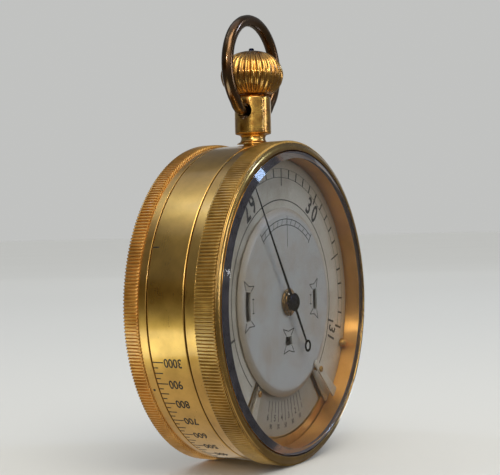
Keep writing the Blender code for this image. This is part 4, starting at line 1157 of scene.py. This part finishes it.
# %% Back cover and its screws
back_cover = turn("polished_back_cover", [
    (0.0, 17.15), (27.0, 17.15), (27.0, 18.05), (26.75, 18.3), (0.0, 18.3)], bevel=0.05, closed=False)
BACK_SCREWS = [flat(20.0, angle) for angle in (30.0, 150.0, 270.0)]
SINK = [(0.0, 16.5), (0.85, 16.5), (0.85, 17.6), (1.75, 18.4), (0.0, 18.4)]
KEY_HOLE = [(0.0, 16.5), (1.1, 16.5), (1.1, 18.6), (0.0, 18.6)]
for cutter, place in [(SINK, place) for place in BACK_SCREWS] + [(KEY_HOLE, (0.0, 15.4))]:
    carve(back_cover, turn("hole", cutter, steps=40, bevel=0.0, closed=False, off_axis=place))
hand_over(finish_mesh(back_cover, 0.03), band_brass, "back_ring", "case_brass", "back_cover")

for i, place in enumerate(BACK_SCREWS):
    screw = slotted_screw("countersunk_screw_%d" % (i + 1), place, [
        (0.0, 18.2), (1.35, 18.2), (0.6, 17.55), (0.6, 15.7), (0.0, 15.7)], 0.3, 0.3, 20.0 + 70.0 * i)
    hand_over(screw, blued_steel, "back_ring", "steel", "back_screw_%d" % (i + 1))

# %% [markdown]
# ## The movement
#
# The movement can hardly be seen, so its CAD pieces stay as they are. Each gets the finish of its metal:
# brass for plates and levers, steel for shafts and screws, blued steel for the hairspring and nickel silver
# for the corrugated capsule.

# %% Finishes for the CAD pieces that stay
SLOT_FINISH = {"movement_brass": movement_brass, "steel": polished_steel, "blued_steel": blued_steel,
               "nickel_silver": nickel_silver, "case_brass": ring_brass, "silvered_dial": dial_silver,
               "bow_bronze": bow_bronze, "dial_glass": dial_glass}
slot_of = {part["node"]: part["material_slot"] for part in frame["record"]["subparts"]}
for node, piece in frame["nodes"].items():
    for material_slot in piece.material_slots:
        material_slot.material = SLOT_FINISH[slot_of[node]]
print("movement pieces finished:", len(frame["nodes"]))

# %% [markdown]
# ## Floor, light and camera
#
# Polished brass shows whatever is round it, so the light is mostly made of things to reflect: a pale floor,
# a pale room, a few soft lamps, and glowing cards. The room lights matt things brightly, but it is much
# dimmer in a reflection, and that gives the brass its deep tones.

# %% Floor and room
ROOM_LIGHT, ROOM_SEEN, ROOM_REFLECTED = 0.85, 0.54, 0.12


def in_a_reflection(owner):
    """1 where the room is seen in metal or glass, also when the metal is behind the glass."""
    ray = add(owner, "ShaderNodeLightPath")
    mirrored = add(owner, "ShaderNodeMath", {0: ray.outputs["Glossy Depth"], 1: 1.0}, operation="MINIMUM")
    behind = add(owner, "ShaderNodeMath", {0: mirrored.outputs[0], 1: ray.outputs["Is Transmission Ray"]},
                 operation="MULTIPLY")
    return add(owner, "ShaderNodeMath", {0: behind.outputs[0], 1: ray.outputs["Is Glossy Ray"]},
               operation="MAXIMUM").outputs[0]


deselect()
bpy.ops.mesh.primitive_plane_add(size=40.0)
floor = named("floor")
floor_finish, floor_shader = new_finish("pale_paper", 0.8, 0.0)
floor_place = add(floor_finish, "ShaderNodeTexCoord").outputs["Object"]
floor_noise = add(floor_finish, "ShaderNodeTexNoise", {"Vector": floor_place, "Scale": 3.0})
floor_colour = add(floor_finish, "ShaderNodeMix", {0: floor_noise.outputs["Fac"], 6: linear("#D6D6D4"),
                                                   7: linear("#DADAD8")}, data_type="RGBA")
wire(floor_finish, floor_colour.outputs[2], floor_shader.inputs["Base Color"])
floor_dull = add(floor_finish, "ShaderNodeEmission", {"Color": linear("#FFF4E0"), "Strength": ROOM_REFLECTED})
floor_room = add(floor_finish, "ShaderNodeEmission", {"Strength": ROOM_SEEN})
floor_ray = add(floor_finish, "ShaderNodeLightPath")
floor_through = add(floor_finish, "ShaderNodeMixShader", {
    0: floor_ray.outputs["Is Transmission Ray"], 1: floor_shader.outputs[0], 2: floor_room.outputs[0]})
floor_seen = add(floor_finish, "ShaderNodeMixShader", {0: in_a_reflection(floor_finish),
                                                       1: floor_through.outputs[0], 2: floor_dull.outputs[0]})
wire(floor_finish, floor_seen.outputs[0], floor_finish.node_tree.nodes["Material Output"].inputs["Surface"])
floor.data.materials.append(floor_finish)

world = bpy.data.worlds.new("pale_room")
bpy.context.scene.world = world
world.use_nodes = True
ray = add(world, "ShaderNodeLightPath")
shown = add(world, "ShaderNodeMath", {0: ray.outputs["Is Camera Ray"], 1: ray.outputs["Is Transmission Ray"]},
            operation="MAXIMUM")
level = add(world, "ShaderNodeMix", {0: shown.outputs[0], 2: ROOM_LIGHT, 3: ROOM_SEEN})
strength = add(world, "ShaderNodeMix", {0: in_a_reflection(world), 2: level.outputs[0], 3: ROOM_REFLECTED})
room = world.node_tree.nodes["Background"]
room.inputs["Color"].default_value = linear("#FEFFFD")
wire(world, strength.outputs[0], room.inputs["Strength"])
print("room: light", ROOM_LIGHT, "seen as", ROOM_SEEN, "reflected as", ROOM_REFLECTED)

# %% [markdown]
# Each lamp is placed by the direction it comes from. A lamp is small and bright where the metal should show
# a hot spot, and tall and narrow where upright cylinders should show a stripe. Cards are glowing planes
# that only the shine of a surface sees, so they place a reflection and leave the daylight as it is. One of
# them is dim, for the dark tone on the left of the band. Three lie on the floor, where the bright lower
# band reflects them, and glow upwards only, because the floor has some shine too.

# %% Lamps and cards


def aim(piece, target):
    """Turns a lamp or card so that its -Z faces the target."""
    piece.rotation_euler = (target - piece.location).to_track_quat("-Z", "Y").to_euler()


def lamp(name, direction, away, width, height, power, colour="#FFFFFF"):
    """A soft oblong lamp that faces the case from a direction."""
    deselect()
    bpy.ops.object.light_add(type="AREA", location=CENTRE + Vector(direction).normalized() * away)
    light = named(name)
    light.data.shape = "RECTANGLE"
    light.data.size, light.data.size_y = width, height
    light.data.energy = power
    light.data.color = linear(colour)[:3]
    light.visible_camera = False
    aim(light, CENTRE)
    return light


def card(name, place, width, height, glow, colour, flat_turn=None):
    """A glowing card that only shine sees. It faces the case, or lies on the floor and glows upwards."""
    deselect()
    bpy.ops.mesh.primitive_plane_add(size=1.0, location=place)
    piece = named(name)
    piece.scale = (width, height, 1.0)
    if flat_turn is None:
        aim(piece, CENTRE)
    else:
        piece.rotation_euler = (0.0, 0.0, math.radians(flat_turn))
    finish = bpy.data.materials.new(name + "_light")
    finish.use_nodes = True
    light = add(finish, "ShaderNodeEmission", {"Color": linear(colour), "Strength": glow})
    shown = light
    if flat_turn is not None:
        under = add(finish, "ShaderNodeNewGeometry").outputs["Backfacing"]
        dark = add(finish, "ShaderNodeBsdfTransparent")
        shown = add(finish, "ShaderNodeMixShader", {0: under, 1: light.outputs[0], 2: dark.outputs[0]})
    wire(finish, shown.outputs[0], finish.node_tree.nodes["Material Output"].inputs["Surface"])
    piece.data.materials.append(finish)
    for seen_by in ("camera", "diffuse", "shadow", "transmission"):
        setattr(piece, "visible_" + seen_by, False)
    return piece


lamp("ceiling_lamp", (-0.27, 0.46, 0.85), 1.0, 0.12, 0.08, 0.48, "#D4E6FF")
lamp("table_lamp", (-0.4, -0.45, 0.8), 0.45, 0.25, 0.25, 0.68, "#FFF4DC")
lamp("right_stripe", (0.45, -0.89, 0.1), 1.0, 0.1, 0.35, 0.7)
lamp("window", (0.563, -0.64, 0.523), 1.0, 0.1, 0.18, 0.9, "#B4D2FF")
card("far_window", (0.13, -0.97, 0.17), 0.04, 0.04, 20.0, "#FFFFFF")
card("left_window", (-0.86, -0.3, 0.385), 0.05, 0.05, 210.0, "#FFFAF0")
card("high_window", (-0.08, -0.49, 0.89), 0.04, 0.04, 100.0, "#FFFAF0")
card("bright_hall", (-0.33, -0.45, 0.34), 0.75, 0.36, 0.9, "#FFF6E4")
card("backdrop_glow", (0.88, 0.46, 0.15), 1.2, 0.5, 0.5, "#FEFFFD")
card("ceiling_glow", (-0.1, 0.0, 0.63), 0.9, 0.7, 0.5, "#F4F8FF")
card("left_gloom", (-0.7, 0.37, 0.13), 1.0, 0.22, 0.05, "#FFC860")
card("stand_glow", (-0.088, 0.035, 0.001), 0.066, 0.1, 2.1, "#F6FFEE", -28.0)
card("stand_foot", (-0.03, 0.012, 0.0005), 0.05, 0.08, 0.45, "#FFF4E0", -28.0)
card("stand_edge", (0.064, -0.004, 0.0005), 0.056, 0.03, 2.0, "#E0ECFF", 10.0)

# %% [markdown]
# The camera stands low, to the left of the dial, a short way off. Its lens is long, but so near a case this
# small the far side still looks clearly smaller than the near one. It is turned a little to the left of the
# lip's centre and above it, so the dial is seen right of the middle and below it.

# %% Camera
CAMERA_AZ, CAMERA_EL = -62.34, 3.30         # where the camera stands, seen from the lip's centre
CAMERA_AWAY, LENS = 0.2224, 86.04           # metres and millimetres
TURNED_LEFT, TURNED_UP, ROLLED = 2.1675, 3.139, -1.08
a, e = math.radians(CAMERA_AZ), math.radians(CAMERA_EL)
back = Vector((math.sin(a) * math.cos(e), -math.cos(a) * math.cos(e), math.sin(e)))
lip_centre = Vector((0.0, FRONT, CENTRE.z))
right = (-back).cross(Vector((0.0, 0.0, 1.0))).normalized()
up = right.cross(-back)
aimed = Matrix((right, up, back)).transposed()
for degrees, axis in ((TURNED_LEFT, "Y"), (TURNED_UP, "X"), (ROLLED, "Z")):
    aimed = aimed @ Matrix.Rotation(math.radians(degrees), 3, axis)
deselect()
bpy.ops.object.camera_add(location=lip_centre + back * CAMERA_AWAY)
camera = named("camera")
camera.data.lens = LENS
camera.data.sensor_width = 36.0
camera.data.clip_start = 0.01
camera.rotation_euler = aimed.to_euler()
bpy.context.scene.camera = camera
bpy.context.scene.view_settings.view_transform = "Standard"
print("camera at", [round(v, 4) for v in camera.location])

# %% The last line
import json
